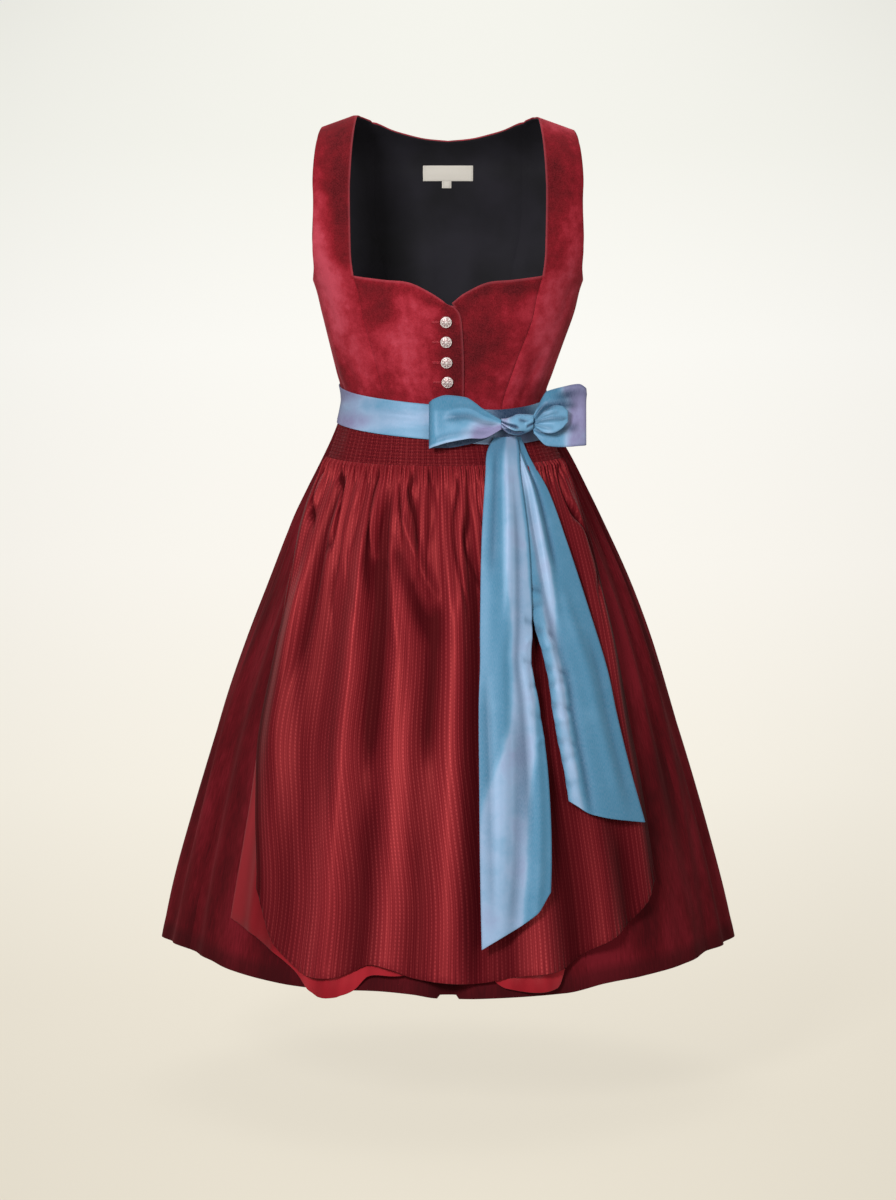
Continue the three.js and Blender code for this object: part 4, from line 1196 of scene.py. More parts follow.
# Creases set one by one: short ones under the band, the deep troughs on both sides of the middle, the
# slanting fold that crosses from the right one, and the long narrow ones that carry on to the hem.
APRON_CREASES = table(
    "first last start end width depth bow",
    (-47.5, -43, -412, -700, 2, -7, 1),
    (-44, -38.5, -438, -760, 2.9, 6, 1.5),
    (-55, -52, -430, -640, 2.1, -2.6, 0),
    (-58, -52, -430, -620, 2.3, 4, 0),
    (-49, -44.5, -520, -800, 2.6, 4, 0),
    (-33, -27, -520, -860, 2.9, -3, 0),
    (-37, -35.5, -422, -560, 2.1, 2.9, 0),
    (-34, -33, -420, -530, 1.7, -2.6, 0),
    (-31, -29, -418, -505, 1.6, -3.6, 0),
    (-28, -26.5, -425, -660, 2.3, 4.5, 0),
    (-23.8, -18.6, -420, -790, 1.7, -13, 0.6),
    (-20.5, -13, -436, -650, 1.7, 6, -1.6),
    (-14.5, -17.8, -420, -530, 1.7, 3.6, 0),
    (-18.2, -1.5, -462, -590, 2, 8, 0),
    (-20, -3.5, -490, -630, 2.2, -8, 0),
    (-12.5, -9, -420, -520, 1.6, -2.6, 0),
    (-10.5, -8, -430, -540, 1.8, 2.3, 0),
    (-7, -6, -420, -520, 1.4, -2.6, 0),
    (-3.6, -5.4, -548, -780, 2.2, -6, 0),
    (-2.2, 0.5, -422, -620, 1.6, 3.2, 0),
    (6.5, 3, -422, -620, 1.6, 3.2, 0),
    (2, 2, -430, -600, 1.8, -3.2, 0),
    (9.3, 5, -432, -1100, 2, -8, -1.5),
    (10.8, 9, -440, -800, 1.3, 2.6, 0),
    (-9, -8.5, -640, -960, 2, 3.5, 0),
    (-17, -18.5, -760, -1200, 2.9, -4, 0),
    (-6.5, -7, -780, -1200, 2.3, -3, 0),
    (-33, -33, -800, -1120, 2.9, 3, 0),
    (12, 12, -860, -1180, 2.3, -3, 0),
    (24, 26.5, -700, -1200, 2.9, -5, 0),
    (40, 38.5, -820, -1160, 2.6, -4, 0),
    (26, 24, -430, -760, 2.3, -4, 0),
    (42, 37, -430, -900, 2.1, -3.2, 0),
    (38, 34, -450, -820, 1.8, 2.3, 0),
    (56, 47, -422, -820, 1.8, -2.6, 0),
    (53, 49, -430, -700, 1.6, 2, 0),
)


def apron_gathers(share, height):
    """Tight gathers at the band that run together into uneven pleats and fade into the large folds."""
    below = APRON_BAND_FOOT - height
    wander = 1.1 * np.sin(TURN * 5 * share) + 0.6 * np.sin(TURN * 11 * share)
    fine, deep = (np.interp(-height, -APRON_GATHER_DEPTH["height"], APRON_GATHER_DEPTH[column])
                  for column in ("fine", "pleat"))
    tight = np.cos(TURN * APRON_GATHERS * share + wander)
    swing = 1.0 * np.sin(20.7 * share + below / 34) + 0.5 * np.sin(56 * share - below / 19)
    turn = math.pi * APRON_PLEATS * share + 0.8 * wander + swing * np.minimum(below / 30, 1)
    pleat = 0.4 - 1.4 * bell(np.sin(turn), 0.36)
    uneven = 0.56 + 0.5 * np.sin(46 * share + 1) + 0.4 * np.sin(19 * share + below / 45)
    uneven = np.maximum(uneven, 0.06 + 0.7 * np.exp(-below / 16))
    return 1.5 * step(below, 0, 64) + 0.9 * fine * (1 + tight) + deep * uneven * pleat


jacquard = jacquard_finish()
angle, height, share = hung_panel(APRON_EDGES, APRON_HEM, 440, 92)
folds = apron_folds(angle, height)
gathers = apron_gathers(share, height)
creased = creases(APRON_CREASES, angle, height)
above_hem = height - smooth(APRON_HEM, "height", share)
turn_under = 1 - step(above_hem, APRON_HEM_TURN - 1, APRON_HEM_TURN)
pucker = 0.5 * np.sin(TURN * 74 * share + 2 * np.sin(9 * share)) * bell(above_hem, 14)
lift = APRON_LIFT + gathers + folds + creased * step(-height, 420, 450) + pucker + 0.35 * turn_under
over_satin = UNDERLAYER_LIFT + UNDERLAYER_FOLLOWS * folds + APRON_CLOTH + 1.0
face = on_form(angle, height, np.maximum(lift, over_satin))
# hollow is painted shade: darker in the troughs of the large folds, the creases and the gathers, and laid over
# the right side, low on the left and along both side edges
hollow = 0.42 * (1 - np.clip(folds / 10, 0, 1)) * step(-height, 430, 620)
hollow = hollow + np.clip(-0.09 * creased, 0, 0.6) + 0.25 * step(angle, 20, 34)
hollow = hollow + 0.16 * np.clip(0.8 - gathers, 0, 5)
hollow = hollow + 0.35 * (1 - step(share, 0.06, 0.14)) * step(-height, 560, 700)
hollow = hollow + 0.35 * step(np.abs(share - 0.5), 0.475, 0.49)
piece = cloth_mesh("apron_panel", face, APRON_CLOTH, jacquard, shade=np.clip(hollow, 0, 0.85))
wear(piece, "apron", face)

# ---- apron band ----------------------------------------------------------------------------------
# The top of the apron is drawn up on ten rows of gathering stitches, so that it stands in small ridges with
# a bead at each gather. Two upright rows of stitches right of the middle hold a join in the cloth.
SHIRR_ROWS = 10
SHIRR_RISE = 0.9
SHIRR_TOP = -376
SHIRR_BEADS = 132
BAND_LIFT = 4.6
BAND_JOINS = (-26.6, -23.4)  # degrees, at the middle of the band


def band_slack(share, down):
    """The band isn't drawn up quite evenly, so between its edges it swings a little in and out."""
    return 0.5 * np.sin(TURN * 9 * share + 2) * np.sin(math.pi * down)


u, v = grid(4 * SHIRR_BEADS, 51)
height = between(WAIST_SEAM, APRON_BAND_FOOT, v)
angle = across_edges(APRON_EDGES, height, u)
row = (height - SHIRR_TOP) / (APRON_BAND_FOOT - SHIRR_TOP) * SHIRR_ROWS
ridge = np.abs(np.sin(math.pi * row)) * (row > 0)
bead = 0.5 + 0.5 * np.cos(TURN * SHIRR_BEADS * u + math.pi * np.floor(row))
join = bell(angle - BAND_JOINS[0], 0.5) + bell(angle - BAND_JOINS[1], 0.5)
lift = BAND_LIFT + SHIRR_RISE * ridge * (0.55 + 0.45 * bead) + 0.5 * join + band_slack(u, v)
face = on_form(angle, height, lift)
shade = 0.4 + 0.4 * (1 - ridge) * (row > 0)
piece = cloth_mesh("apron_shirred_band", face, APRON_CLOTH, jacquard, shade=shade)
wear(piece, "apron_band", face)

share = (np.arange(SHIRR_BEADS) + 0.5) / SHIRR_BEADS
spots = []
for row in range(1, SHIRR_ROWS + 1):
    level = np.full(share.shape, SHIRR_TOP + (APRON_BAND_FOOT - SHIRR_TOP) * row / SHIRR_ROWS)
    slack = band_slack(share, (level - WAIST_SEAM) / (APRON_BAND_FOOT - WAIST_SEAM))
    spots.append(on_form(across_edges(APRON_EDGES, level, share), level, BAND_LIFT + 0.15 + slack))
spots = np.concatenate(spots)
aims = np.cross((0, 0, 1.0), unit(spots * (1, 1, 0)))
stitches("shirring_stitches", spots, aims, 1.5, 0.5, thread)
level = np.linspace(-366, APRON_BAND_FOOT + 3, 17)
spots = [on_form(join - 0.04 * (level + 390), level, BAND_LIFT + SHIRR_RISE + 0.7) for join in BAND_JOINS]
stitches("join_stitches", np.concatenate(spots), UPRIGHT, 2.0, 0.8, thread)

# ---- waist sash ----------------------------------------------------------------------------------
# A band of changing silk taffeta, blue one way and lilac the other. It is wound round the waist over the
# top of the skirt and the apron's band, a little higher at the back, and pulled tight into the knot.


def taffeta_finish():
    """Shot taffeta: blue warp, lilac weft. How much lilac shows at each fold is kept with the cloth."""
    material, add, give = new_finish("taffeta", Roughness=0.42, Specular_IOR_Level=0.36,
                                     Specular_Tint=dye("d8e6ff"), Sheen_Weight=0.2, Sheen_Roughness=0.35,
                                     Sheen_Tint=dye("b9b2dc"))
    place = add("TexCoord", out=3)
    cut = add("UVMap", uv_map="cut")
    drift = add("TexNoise", place, ("Scale", 26.0), ("Detail", 3.0), ("Roughness", 0.6))
    turned = sums(add, drift, ("ADD", -0.5), ("MULTIPLY_ADD", 0.6, tone(add, "shot")))
    colour = ramp(add, turned, (0.0, "4a88aa"), (0.35, "6a9fc1"), (0.62, "98b5d6"), (0.8, "97a4c8"),
                  (1.0, "8b86ae"))
    deep = mixed(add, tone(add, "shade"), colour, dye("12304e"))
    slub = stretched_noise(add, cut, 1100.0, 260.0, Detail=2.0)
    flecked = mixed(add, add("MapRange", slub, 0.35, 0.65, 0.0, 0.14), deep, dye("a9b6d4"))
    give(Base_Color=flecked, Normal=relief(add, slub, 0.12, 0.0003))
    return material


TAFFETA = 1.2
SASH_WIDTH = 43
SASH_TOP = table(
    "angle height",
    (-180, -333),
    (-90, -331),
    (-70, -332),
    (-8, -342),
    (22, -349),
    (35, -350),
    (70, -345),
    (120, -336),
    (180, -333),
)
# Pull lines along the sash: how far down the band they start and end, between two angles.
SASH_PULLS = table(
    "first last start end width depth",
    (0.2, 0.45, -60, 30, 0.12, -0.6),
    (0.55, 0.6, -86, 10, 0.12, -0.35),
    (0.75, 0.6, -40, 40, 0.1, 0.35),
    (0.35, 0.5, 18, 44, 0.08, -1.6),
    (0.65, 0.6, 14, 46, 0.08, 1.2),
    (0.3, 0.5, 64, 120, 0.08, -0.9),
    (0.7, 0.55, 70, 175, 0.07, -0.8),
    (0.4, 0.3, 110, 180, 0.07, 0.7),
    (0.6, 0.75, -175, -95, 0.07, -0.8),
    (0.25, 0.35, -150, -80, 0.06, 0.7),
)
SASH_SHOT = table(
    "angle shot shade",
    (-180, 0.35, 0),
    (-90, 1, 0.36),
    (-62, 0.85, 0.26),
    (-45, 0.6, 0.2),
    (-20, 0.42, 0.16),
    (12, 0.5, 0.1),
    (22, 0.5, 0.5),
    (30, 0.6, 0.95),
    (46, 0.6, 0.95),
    (58, 0.4, 0.2),
    (90, 0.6, 0),
    (180, 0.35, 0),
)
taffeta = taffeta_finish()
u, v = grid(288, 20)
angle = 360 * u - 180
height = smooth(SASH_TOP, "height", angle) - SASH_WIDTH * v
over_apron = 1 - step(np.abs(angle), 66, 84)
snug = 2.2 + (BAND_LIFT + SHIRR_RISE) * over_apron * step(-height, 335, 358)
pulls = creases(SASH_PULLS, v, angle)
face = on_form(angle, height, snug + 0.8 * np.sin(math.pi * v) + pulls)
shot = np.clip(smooth(SASH_SHOT, "shot", angle) + 0.16 * np.sin(TURN * v + angle / 14), 0, 1)
shade = smooth(SASH_SHOT, "shade", angle) * (1 - 0.4 * step(v, 0.6, 0.9)) - pulls * 0.05
shade = np.clip(shade, 0, 1)
piece = cloth_mesh("taffeta_waist_sash", face, TAFFETA, taffeta, ring=True, shot=shot, shade=shade)
wear(piece, "waist_sash", face)

# ---- bow -----------------------------------------------------------------------------------------
# The sash's ends are tied in a bow left of the middle: two open loops of unequal size, a small fold that
# stands out beside the knot, and the knot itself, a short length of the ribbon wound round it.


def lean_out(z):
    """Below the waist line the bow leans out with the skirt."""
    return 0.27 * np.maximum(0, -345 - z)


def through(stations, share):
    """A smooth curve through the stations, at shares from 0 to 1."""
    p = np.array(stations, float)
    p = np.vstack([2 * p[0] - p[1], p, 2 * p[-1] - p[-2]])
    place = share * (len(stations) - 1)
    span = np.minimum(place.astype(int), len(stations) - 2)
    w = (place - span)[..., None]
    p0, p1, p2, p3 = (p[span + step_on] for step_on in range(4))
    d0, d1, d2 = (np.sqrt(np.linalg.norm(b - a, axis=-1, keepdims=True) + 1e-6)
                  for a, b in ((p0, p1), (p1, p2), (p2, p3)))
    t1 = ((p1 - p0) / d0 - (p2 - p0) / (d0 + d1) + (p2 - p1) / d1) * d1
    t2 = ((p2 - p1) / d1 - (p3 - p1) / (d1 + d2) + (p3 - p2) / d2) * d1
    return p1 + t1 * w + (-3 * p1 + 3 * p2 - 2 * t1 - t2) * w**2 + (2 * p1 - 2 * p2 + t1 + t2) * w**3


def ribbon_loop(stations, columns, rows, pleats):
    """A loop of ribbon: its middle line seen from above, its two edges, and how far its front bulges.
    Stations run anticlockwise seen from above. Pleats run along it, each at a share of its width."""
    middle = np.stack([stations["x"], stations["y"]], 1)[::-1]
    edges = np.stack([stations["top"], stations["foot"], stations["crown"]], 1)[::-1]
    u, v = grid(columns, rows)
    spot = through(middle, u)
    along = unit(through(middle, np.clip(u + 0.004, 0, 1)) - through(middle, np.clip(u - 0.004, 0, 1)))
    top, foot, crown = np.moveaxis(through(edges, u), -1, 0)
    z = between(top, foot, v)
    out = crown * np.sin(math.pi * v) + creases(pleats, v, u)
    x = spot[..., 0] + along[..., 1] * out
    y = spot[..., 1] - along[..., 0] * out - lean_out(z)
    return np.stack([x, y, z], -1), u, v


LOOP_RIGHT = table(
    "x y top foot crown",
    (64, -100.5, -359, -369, 0),
    (48, -102, -349, -380, 1),
    (26, -103, -338, -387, 1),
    (2, -104, -334, -391, 1),
    (-16, -106, -336, -391, 0),
    (-22, -111, -337, -391, 0),
    (-17, -117, -332, -388, 1),
    (-2, -120, -327, -383, 3),
    (22, -121, -329.5, -378.5, 4),
    (45, -116, -346, -378, 3),
    (64, -110, -358, -369, 1),
)
LOOP_LEFT = table(
    "x y top foot crown",
    (104, -106, -352, -374, 1),
    (119, -109, -324, -388, 3),
    (140, -109, -318, -389.5, 3),
    (158, -104, -316, -389, 2),
    (166.5, -97, -322, -389, 0),
    (159, -89, -318, -387, 1),
    (140, -84, -322, -385, 1),
    (118, -88, -334, -380, 1),
    (104, -94, -354, -372, 0),
)
SMALL_FOLD = table(
    "x y top foot crown",
    (107, -116, -357, -366, 0),
    (116, -121, -346, -371, 2),
    (128, -123, -339, -371, 2),
    (138, -121.5, -340, -366, 1),
    (144, -118.5, -346, -359, 0),
    (138, -115.5, -342, -366, 0),
    (127, -115, -341, -370, 0),
    (116, -114, -347, -370, 0),
)
# Pleats that run out from the knot along each loop: start and end are shares of the loop's length, counted
# from the front of the knot for the right loop, and from its back for the left loop and the small fold.
PLEATS_RIGHT = table(
    "first last start end width depth",
    (0.42, 0.5, 0.0, 0.34, 0.08, -2.2),
    (0.68, 0.62, 0.02, 0.24, 0.07, 1.4),
    (0.2, 0.3, 0.04, 0.3, 0.07, 1.3),
    (0.82, 0.9, 0.05, 0.42, 0.06, -1.2),
    (0.45, 0.4, 0.62, 1.0, 0.1, -1.5),
)
PLEATS_LEFT = table(
    "first last start end width depth",
    (0.35, 0.2, 0.62, 1.05, 0.07, -2.6),
    (0.5, 0.45, 0.55, 1.05, 0.08, 1.6),
    (0.68, 0.8, 0.6, 1.05, 0.07, -2.4),
    (0.1, 0.1, 0.45, 0.8, 0.07, -1.0),
    (0.5, 0.5, 0.0, 0.4, 0.1, -1.5),
)
PLEATS_FOLD = table(
    "first last start end width depth",
    (0.6, 0.3, 0.45, 1.1, 0.08, -2.6),
    (0.3, 0.14, 0.6, 1.1, 0.07, -1.6),
    (0.85, 0.6, 0.7, 1.1, 0.07, -1.6),
)

LOOPS = [
    ("bow_loop_right", "taffeta_loop_right", LOOP_RIGHT, 120, 28, PLEATS_RIGHT),
    ("bow_loop_left", "taffeta_loop_left", LOOP_LEFT, 120, 28, PLEATS_LEFT),
    ("bow_fold", "taffeta_small_fold", SMALL_FOLD, 70, 18, PLEATS_FOLD),
]
for node, name, stations, columns, rows, pleats in LOOPS:
    face, u, v = ribbon_loop(stations, columns, rows, pleats)
    x, z = face[..., 0], face[..., 2]
    # painted shade in the troughs of the pleats
    painted_pleat_shade = np.clip(-0.15 * creases(pleats, v, u), 0, 0.7)
    # painted shade along both edges of the ribbon, a thin dark outline
    painted_edge_shade = 0.35 * (1 - step(np.minimum(v, 1 - v), 0.01, 0.03))
    if node == "bow_loop_right":
        inside = step(u, 0.47, 0.5) * step(v, 0.5, 0.6)
        shot = step(x, 8, 46) * 0.8 * step(v, 0.1, 0.6) + 0.35 * step(v, 0.5, 0.9) * step(x, -20, 10)
        shade = inside + 0.3 * step(-x, 17, 22) * (1 - step(u, 0.52, 0.56)) + 1.6 * painted_pleat_shade
    elif node == "bow_loop_left":
        shot = step(x, 132, 152) + 0.5 * step(z, -334, -322) * step(x, 126, 140)
        shade = 0.75 * np.exp(-(((x - 142) / 13) ** 2) - ((z + 329) / 8) ** 2) + painted_pleat_shade
        shade = shade + 0.5 * step(-x, -118, -106) * step(z, -352, -336) + painted_pleat_shade
    else:
        shot = 0.3
        shade = 0.5 * step(-v, -0.2, 0) * step(-x, -136, -120) + 0.1 * step(v, 0.9, 1) + 1.4 * painted_pleat_shade
    lower_rim = step(v, 0.95, 0.97) * (1 - step(u, 0.47, 0.5))
    shot = np.clip(np.maximum(shot, 0.6 * lower_rim), 0, 1)
    shade = np.clip(shade + painted_edge_shade, 0, 1) * (1 - lower_rim)
    piece = cloth_mesh(name, face, TAFFETA, taffeta, shot=shot, shade=shade)
    wear(piece, node, face)

KNOT = table(
    "x y z tall deep",
    (64.6, -106, -362.5, 5.5, 5.5),
    (70, -107, -364.5, 8, 8),
    (77, -107, -365, 10.5, 9.5),
    (84, -107, -364, 12.5, 9),
    (93, -106, -363, 11.5, 8),
    (99, -106, -362, 10, 7.5),
    (103.5, -105, -361, 8.5, 6.5),
)
# Folds of the wound ribbon, by x and by how far round the knot they lie, in turns from its front.
KNOT_FOLDS = table(
    "first last start end width depth",
    (0.13, -0.06, 60, 88, 0.03, -3.2),
    (0.06, -0.12, 62, 88, 0.035, 1.8),
    (0.0, -0.16, 62, 92, 0.025, -2.8),
    (-0.1, -0.16, 66, 96, 0.03, -1.8),
    (0.1, 0.02, 84, 104, 0.03, -1.2),
    (0.02, 0.06, 92, 108, 0.03, 1.2),
    (-0.05, 0.0, 94, 108, 0.03, -1.6),
)
KNOT_CUT = {"long": 40, "round": 60}  # the ribbon along the knot and round it, mm
columns, sides = 64, 56
u, turn = np.meshgrid(np.linspace(0, 1, columns + 1), np.linspace(0, 1, sides + 1), indexing="ij")
x, y, z, tall, deep = np.moveaxis(through(np.stack(list(KNOT.values()), 1), u), -1, 0)
front = (turn + 0.5) % 1 - 0.5
bulge = creases(KNOT_FOLDS, front, x)
level = z + (tall + bulge) * np.sin(TURN * turn)
face = np.stack([x, y - (deep + bulge) * np.cos(TURN * turn) - lean_out(level), level], -1)
ids = np.arange((columns + 1) * sides).reshape(columns + 1, sides)
faces = patches(np.concatenate([ids, ids[:, :1]], 1)).tolist()
faces += [ids[0].tolist(), ids[-1, ::-1].tolist()]
mesh = bpy.data.meshes.new("taffeta_knot")
mesh.from_pydata(face[:, :sides].reshape(-1, 3) * MM, [], faces)
laid = np.stack([u * KNOT_CUT["long"], turn * KNOT_CUT["round"]], -1).reshape(-1, 2) * MM
corners = laid[patches(np.arange(len(laid)).reshape(columns + 1, sides + 1))].reshape(-1, 2)
corners = np.concatenate([corners, np.zeros((2 * sides, 2))])  # the two hidden ends have no cut of their own
mesh.uv_layers.new(name="cut").data.foreach_set("uv", corners.ravel())
shot = np.clip(0.25 + 0.6 * bell(x - 68, 7), 0, 1)
shade = np.clip(-bulge * 0.7, 0, 1) + 0.5 * step(-np.sin(TURN * turn), 0.4, 1)
knot = finished(mesh, taffeta, shot=shot[:, :sides].ravel(), shade=shade[:, :sides].ravel())
wear(knot, "bow_knot")

# ---- hanging ends --------------------------------------------------------------------------------
# The two ends of the sash fall from the knot over the apron. The long one hangs straight, the short one
# swings out to the left. Both are cut on a slant and creased lengthways where they were pulled through the
# knot.


def angle_across(x, height):
    """The angle at which the form is a given distance to the wearer's left."""
    share = (x - smooth(FORM, "shift", height)) / smooth(FORM, "half", height)
    square = smooth(FORM, "square", height)
    power = np.clip(np.abs(share), 1e-6, 0.9999) ** square
    return np.degrees(np.arctan((power / (1 - power)) ** (1 / square))) * np.sign(share)


TAIL_TOP = -386
TAILS = [
    {
        "node": "bow_tail_long",
        "name": "taffeta_end_long",
        "foot": table("across height", (0, -975), (0.82, -936), (1, -912)),
        "rows": table(
            "height first last lift",
            (-384, 57, 84, 14),
            (-402, 48, 87, 15),
            (-425, 46, 88, 15),
            (-504, 41, 98, 19),
            (-606, 39, 102, 22),
            (-645, 39, 101, 22.5),
            (-694, 37.5, 110, 23.5),
            (-777, 38, 121, 24.5),
            (-877, 39, 125, 25.5),
            (-980, 41, 120, 27),
        ),
        "crease": table("across lift", (0, 0), (0.25, 2.6), (0.5, 1), (0.75, 3.4), (1, 0.6)),
        "folds": table(
            "first last start end width depth",
            (0.62, 0.5, -384, -640, 0.1, 3.0),
            (0.8, 0.66, -400, -900, 0.09, -2.6),
            (0.3, 0.22, -390, -560, 0.1, -2.0),
            (0.45, 0.3, -560, -960, 0.12, 2.6),
            (0.62, 0.45, -680, -1000, 0.1, -2.4),
            (0.9, 0.8, -600, -1000, 0.07, 2.0),
            (0.12, 0.18, -640, -980, 0.08, -1.6),
        ),
        "puckers": table(
            "first last start end width depth",
            (-596, -604, 0.84, 1.1, 4, -1.4),
            (-622, -616, 0.88, 1.1, 4, 1.2),
            (-642, -650, 0.82, 1.1, 5, -1.6),
            (-676, -670, 0.86, 1.1, 4, -1.4),
            (-704, -712, 0.82, 1.1, 5, -1.6),
            (-738, -732, 0.86, 1.1, 4, 1.3),
        ),
        "shot": table(
            "height from to",
            (-384, 0.5, 0.95),
            (-540, 0.46, 0.97),
            (-620, 0.58, 1.05),
            (-700, 0.5, 0.94),
            (-750, 0.3, 0.86),
            (-800, 0.05, 0.74),
            (-860, -0.1, 0.68),
            (-980, -0.1, 0.62),
        ),
    },
    {
        "node": "bow_tail_short",
        "name": "taffeta_end_short",
        "foot": table("across height", (0, -808), (0.3, -826), (1, -844)),
        "rows": table(
            "height first last lift",
            (-384, 76, 88, 10.5),
            (-410, 80, 99, 11.2),
            (-450, 86, 122, 13.4),
            (-508, 92, 144, 16),
            (-588, 102, 171, 18),
            (-661, 121, 194, 19.5),
            (-716, 129, 206, 21),
            (-780, 142, 222, 22.5),
            (-850, 152, 242, 24),
        ),
        "crease": table("across lift", (0, 0), (0.25, 1.4), (0.5, 2.2), (0.75, 0.8), (1, 0)),
        "folds": table(
            "first last start end width depth",
            (0.5, 0.4, -384, -620, 0.09, 2.8),
            (0.72, 0.6, -400, -560, 0.07, -2.6),
            (0.62, 0.75, -540, -860, 0.1, 2.2),
            (0.28, 0.3, -420, -700, 0.08, -2.4),
            (0.16, 0.14, -560, -860, 0.06, 2.4),
            (0.34, 0.3, -640, -850, 0.06, -2.4),
            (0.85, 0.85, -600, -850, 0.08, -1.4),
        ),
        "puckers": table(
            "first last start end width depth",
            (-556, -566, -0.1, 0.3, 4, -1.8),
            (-584, -578, -0.1, 0.26, 4, -1.6),
            (-606, -616, -0.1, 0.34, 5, -2.0),
            (-632, -626, -0.1, 0.3, 4, 1.6),
            (-650, -662, -0.1, 0.4, 4, -1.8),
            (-676, -668, -0.1, 0.34, 4, -1.6),
            (-694, -704, -0.1, 0.38, 4, -2.0),
            (-718, -712, -0.1, 0.32, 4, 1.5),
            (-736, -746, -0.1, 0.34, 4, -1.8),
            (-764, -756, -0.1, 0.3, 4, -1.5),
            (-786, -794, -0.1, 0.26, 4, -1.5),
        ),
        "shot": table(
            "height from to",
            (-384, 0.1, 0.5),
            (-480, 0.15, 0.5),
            (-560, 0.2, 0.48),
            (-640, 0.08, 0.3),
            (-760, 0.0, 0.22),
            (-850, 0.0, 0.2),
        ),
    },
]
for tail in TAILS:
    u, v = grid(40, 180)
    height = between(TAIL_TOP, smooth(tail["foot"], "height", u), v)
    x = across_edges(tail["rows"], height, u)
    lift = smooth(tail["rows"], "lift", height) + smooth(tail["crease"], "lift", u) * step(v, 0, 0.1)
    drift = on_form(angle_across(x, height), height, lift)[..., 0] - x  # the lift shifts it sideways too
    folds, puckers = creases(tail["folds"], u, height), creases(tail["puckers"], height, u)
    face = on_form(angle_across(x - drift, height), height, lift + folds + puckers)
    start, stop = smooth(tail["shot"], "from", height), smooth(tail["shot"], "to", height)
    shot = 0.6 * step(u, start - 0.08, start + 0.1) * (1 - step(u, stop - 0.06, stop + 0.06))
    shade = np.clip(-0.2 * folds - 0.2 * puckers, 0, 0.7) + 0.06 + 0.3 * (1 - step(v, 0, 0.06))
    shade = shade + 0.3 * (1 - step(np.minimum(u, 1 - u), 0.01, 0.025))
    shade = np.clip(shade, 0, 1)
    piece = cloth_mesh(tail["name"], face, TAFFETA, taffeta, shot=np.clip(shot, 0, 1), shade=shade)
    wear(piece, tail["node"], face)

# ---- floor, light and camera ---------------------------------------------------------------------
# A pale studio floor that runs out of sight, soft lights in front, above and behind, and a long lens set
# above the shoulders, looking down a little at the middle of the dress.
FLOOR_HEIGHT = -1.22
FLOOR_HALF = 60.0
CAMERA_DISTANCE = 7.0
CAMERA_RISE = math.radians(10.3)
AIM = (0.0, 0.0, -0.6)
LENS = 169.68


def floor_finish():
    """Pale cream paper that glows, dimmer towards the near edge and sides as painted light falloff, with a
    little real shadow.
    """
    material, add, give = new_finish("studio_floor", Roughness=1.0, Specular_IOR_Level=0.0,
                                     Base_Color=dye("625f58"))
    split = add("SeparateXYZ", add("TexCoord", out=3))
    depth = add("MapRange", split.node.outputs[1], -0.8, 12.0, 0.0, 1.0)
    wide = add("MapRange", split.node.outputs[1], -0.8, 12.0, 6.2, 19.0)
    # painted light falloff: the glow dims towards the sides, and in the colour ramp below towards the near
    # edge
    painted_side_falloff = sums(add, split, ("DIVIDE", wide), ("POWER", 2.0))
    give(Emission_Strength=sums(add, painted_side_falloff, ("MULTIPLY_ADD", -10.0, 0.935), ("MAXIMUM", 0.82)))
    give(Emission_Color=ramp(add, depth, (0.0, "dcd5c5"), (0.1, "e5decf"), (0.2, "f2ede1"), (0.36, "fbf8f1"),
                             (0.6, "fffef9"), (1.0, "f8f8f1")))
    return material


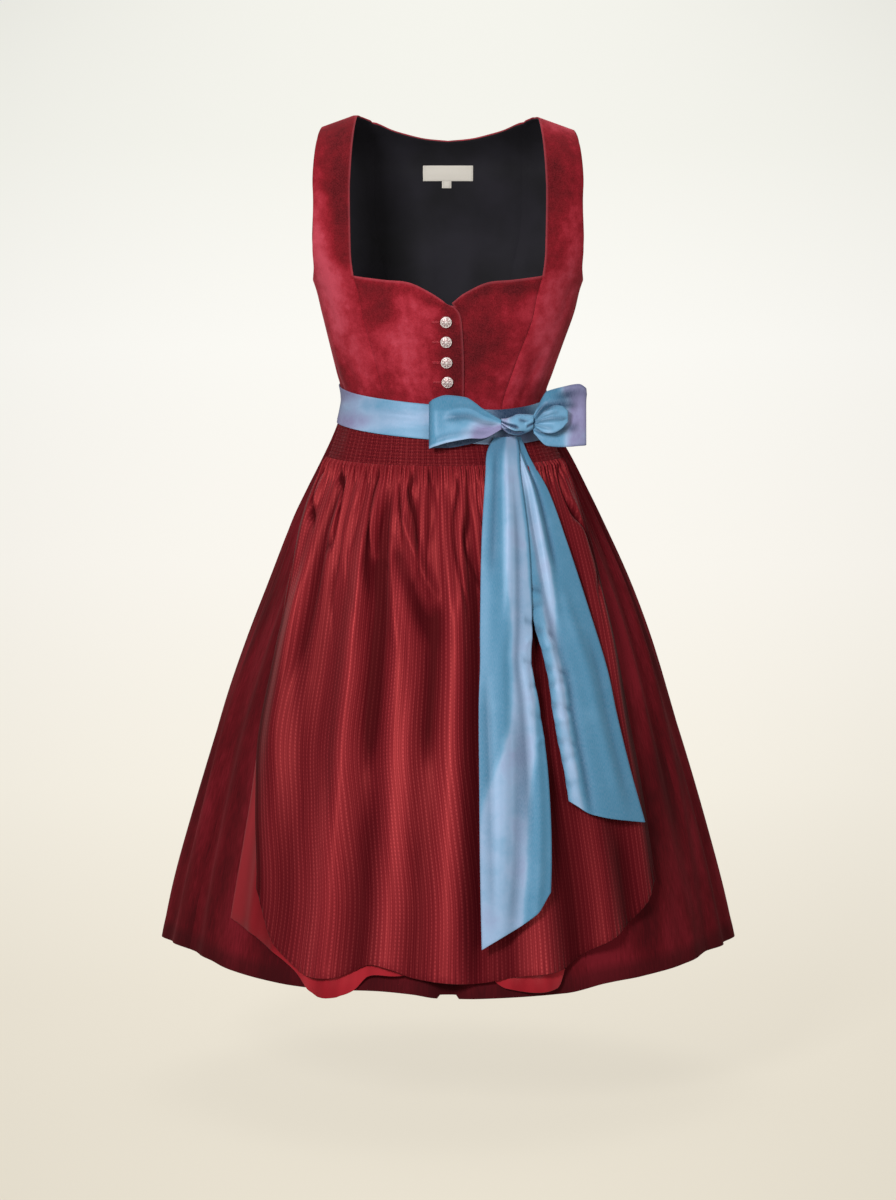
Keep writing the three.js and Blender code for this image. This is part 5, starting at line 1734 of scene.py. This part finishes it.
floor_mesh = bpy.data.meshes.new("studio_floor")
corners = [(-1, -1), (1, -1), (1, 1), (-1, 1)]
corners = [(x * FLOOR_HALF, y * FLOOR_HALF, FLOOR_HEIGHT) for x, y in corners]
floor_mesh.from_pydata(corners, [], [(0, 1, 2, 3)])
floor_mesh.materials.append(floor_finish())
floor = set_down("studio_floor", floor_mesh)
floor.visible_diffuse = False  # its own glow doesn't light the cloth from below
floor.visible_glossy = False

LIGHTS = [
    # name, place, aimed at, width, height, watts
    ("key", (-1.6, -4.1, 1.6), (0, 0, -0.5), 1.0, 1.0, 175),
    ("fill", (1.9, -4.3, 0.2), (0, 0, -0.5), 1.8, 2.2, 38),
    ("top", (0.0, 0.4, 2.6), (0, 0, -0.6), 2.0, 2.0, 20),
    ("back_left", (-2.6, 2.6, 1.2), (0, 0, -0.4), 1.6, 2.2, 9),
    ("back_right", (2.6, 2.6, 1.2), (0, 0, -0.4), 1.6, 2.2, 9),
    ("over_floor", (0.0, 0.2, 3.2), (0, 0.2, -1.2), 4.2, 4.2, 62),
]
FLOOR_LAMP = "over_floor"  # it lights only the floor, for the soft shadow under the hem


def aimed(thing, place, target):
    """Sets a light or the camera down at a place and turns it to its target."""
    way = Vector(target) - Vector(place)
    thing.location = place
    thing.rotation_euler = way.to_track_quat("-Z", "Y").to_euler()


for name, place, target, width, height, watts in LIGHTS:
    light = bpy.data.lights.new(name, "AREA")
    light.shape = "RECTANGLE"
    light.size = width
    light.size_y = height
    light.energy = watts
    lamp = set_down(name, light)
    aimed(lamp, place, target)
    if name == FLOOR_LAMP:
        only_floor = bpy.data.collections.new("only_floor")
        only_floor.objects.link(floor)
        lamp.light_linking.receiver_collection = only_floor

world = bpy.data.worlds.new("studio")
world.use_nodes = True
world.node_tree.nodes["Background"].inputs["Color"].default_value = dye("f3eee2")
world.node_tree.nodes["Background"].inputs["Strength"].default_value = 0.3
bpy.context.scene.world = world
bpy.context.scene.view_settings.view_transform = "Standard"

camera_data = bpy.data.cameras.new("camera")
camera_data.lens = LENS
camera_data.clip_end = 200
camera = set_down("camera", camera_data)
back_off = (0.0, -CAMERA_DISTANCE * math.cos(CAMERA_RISE),
            AIM[2] + CAMERA_DISTANCE * math.sin(CAMERA_RISE))
aimed(camera, back_off, AIM)
bpy.context.scene.camera = camera
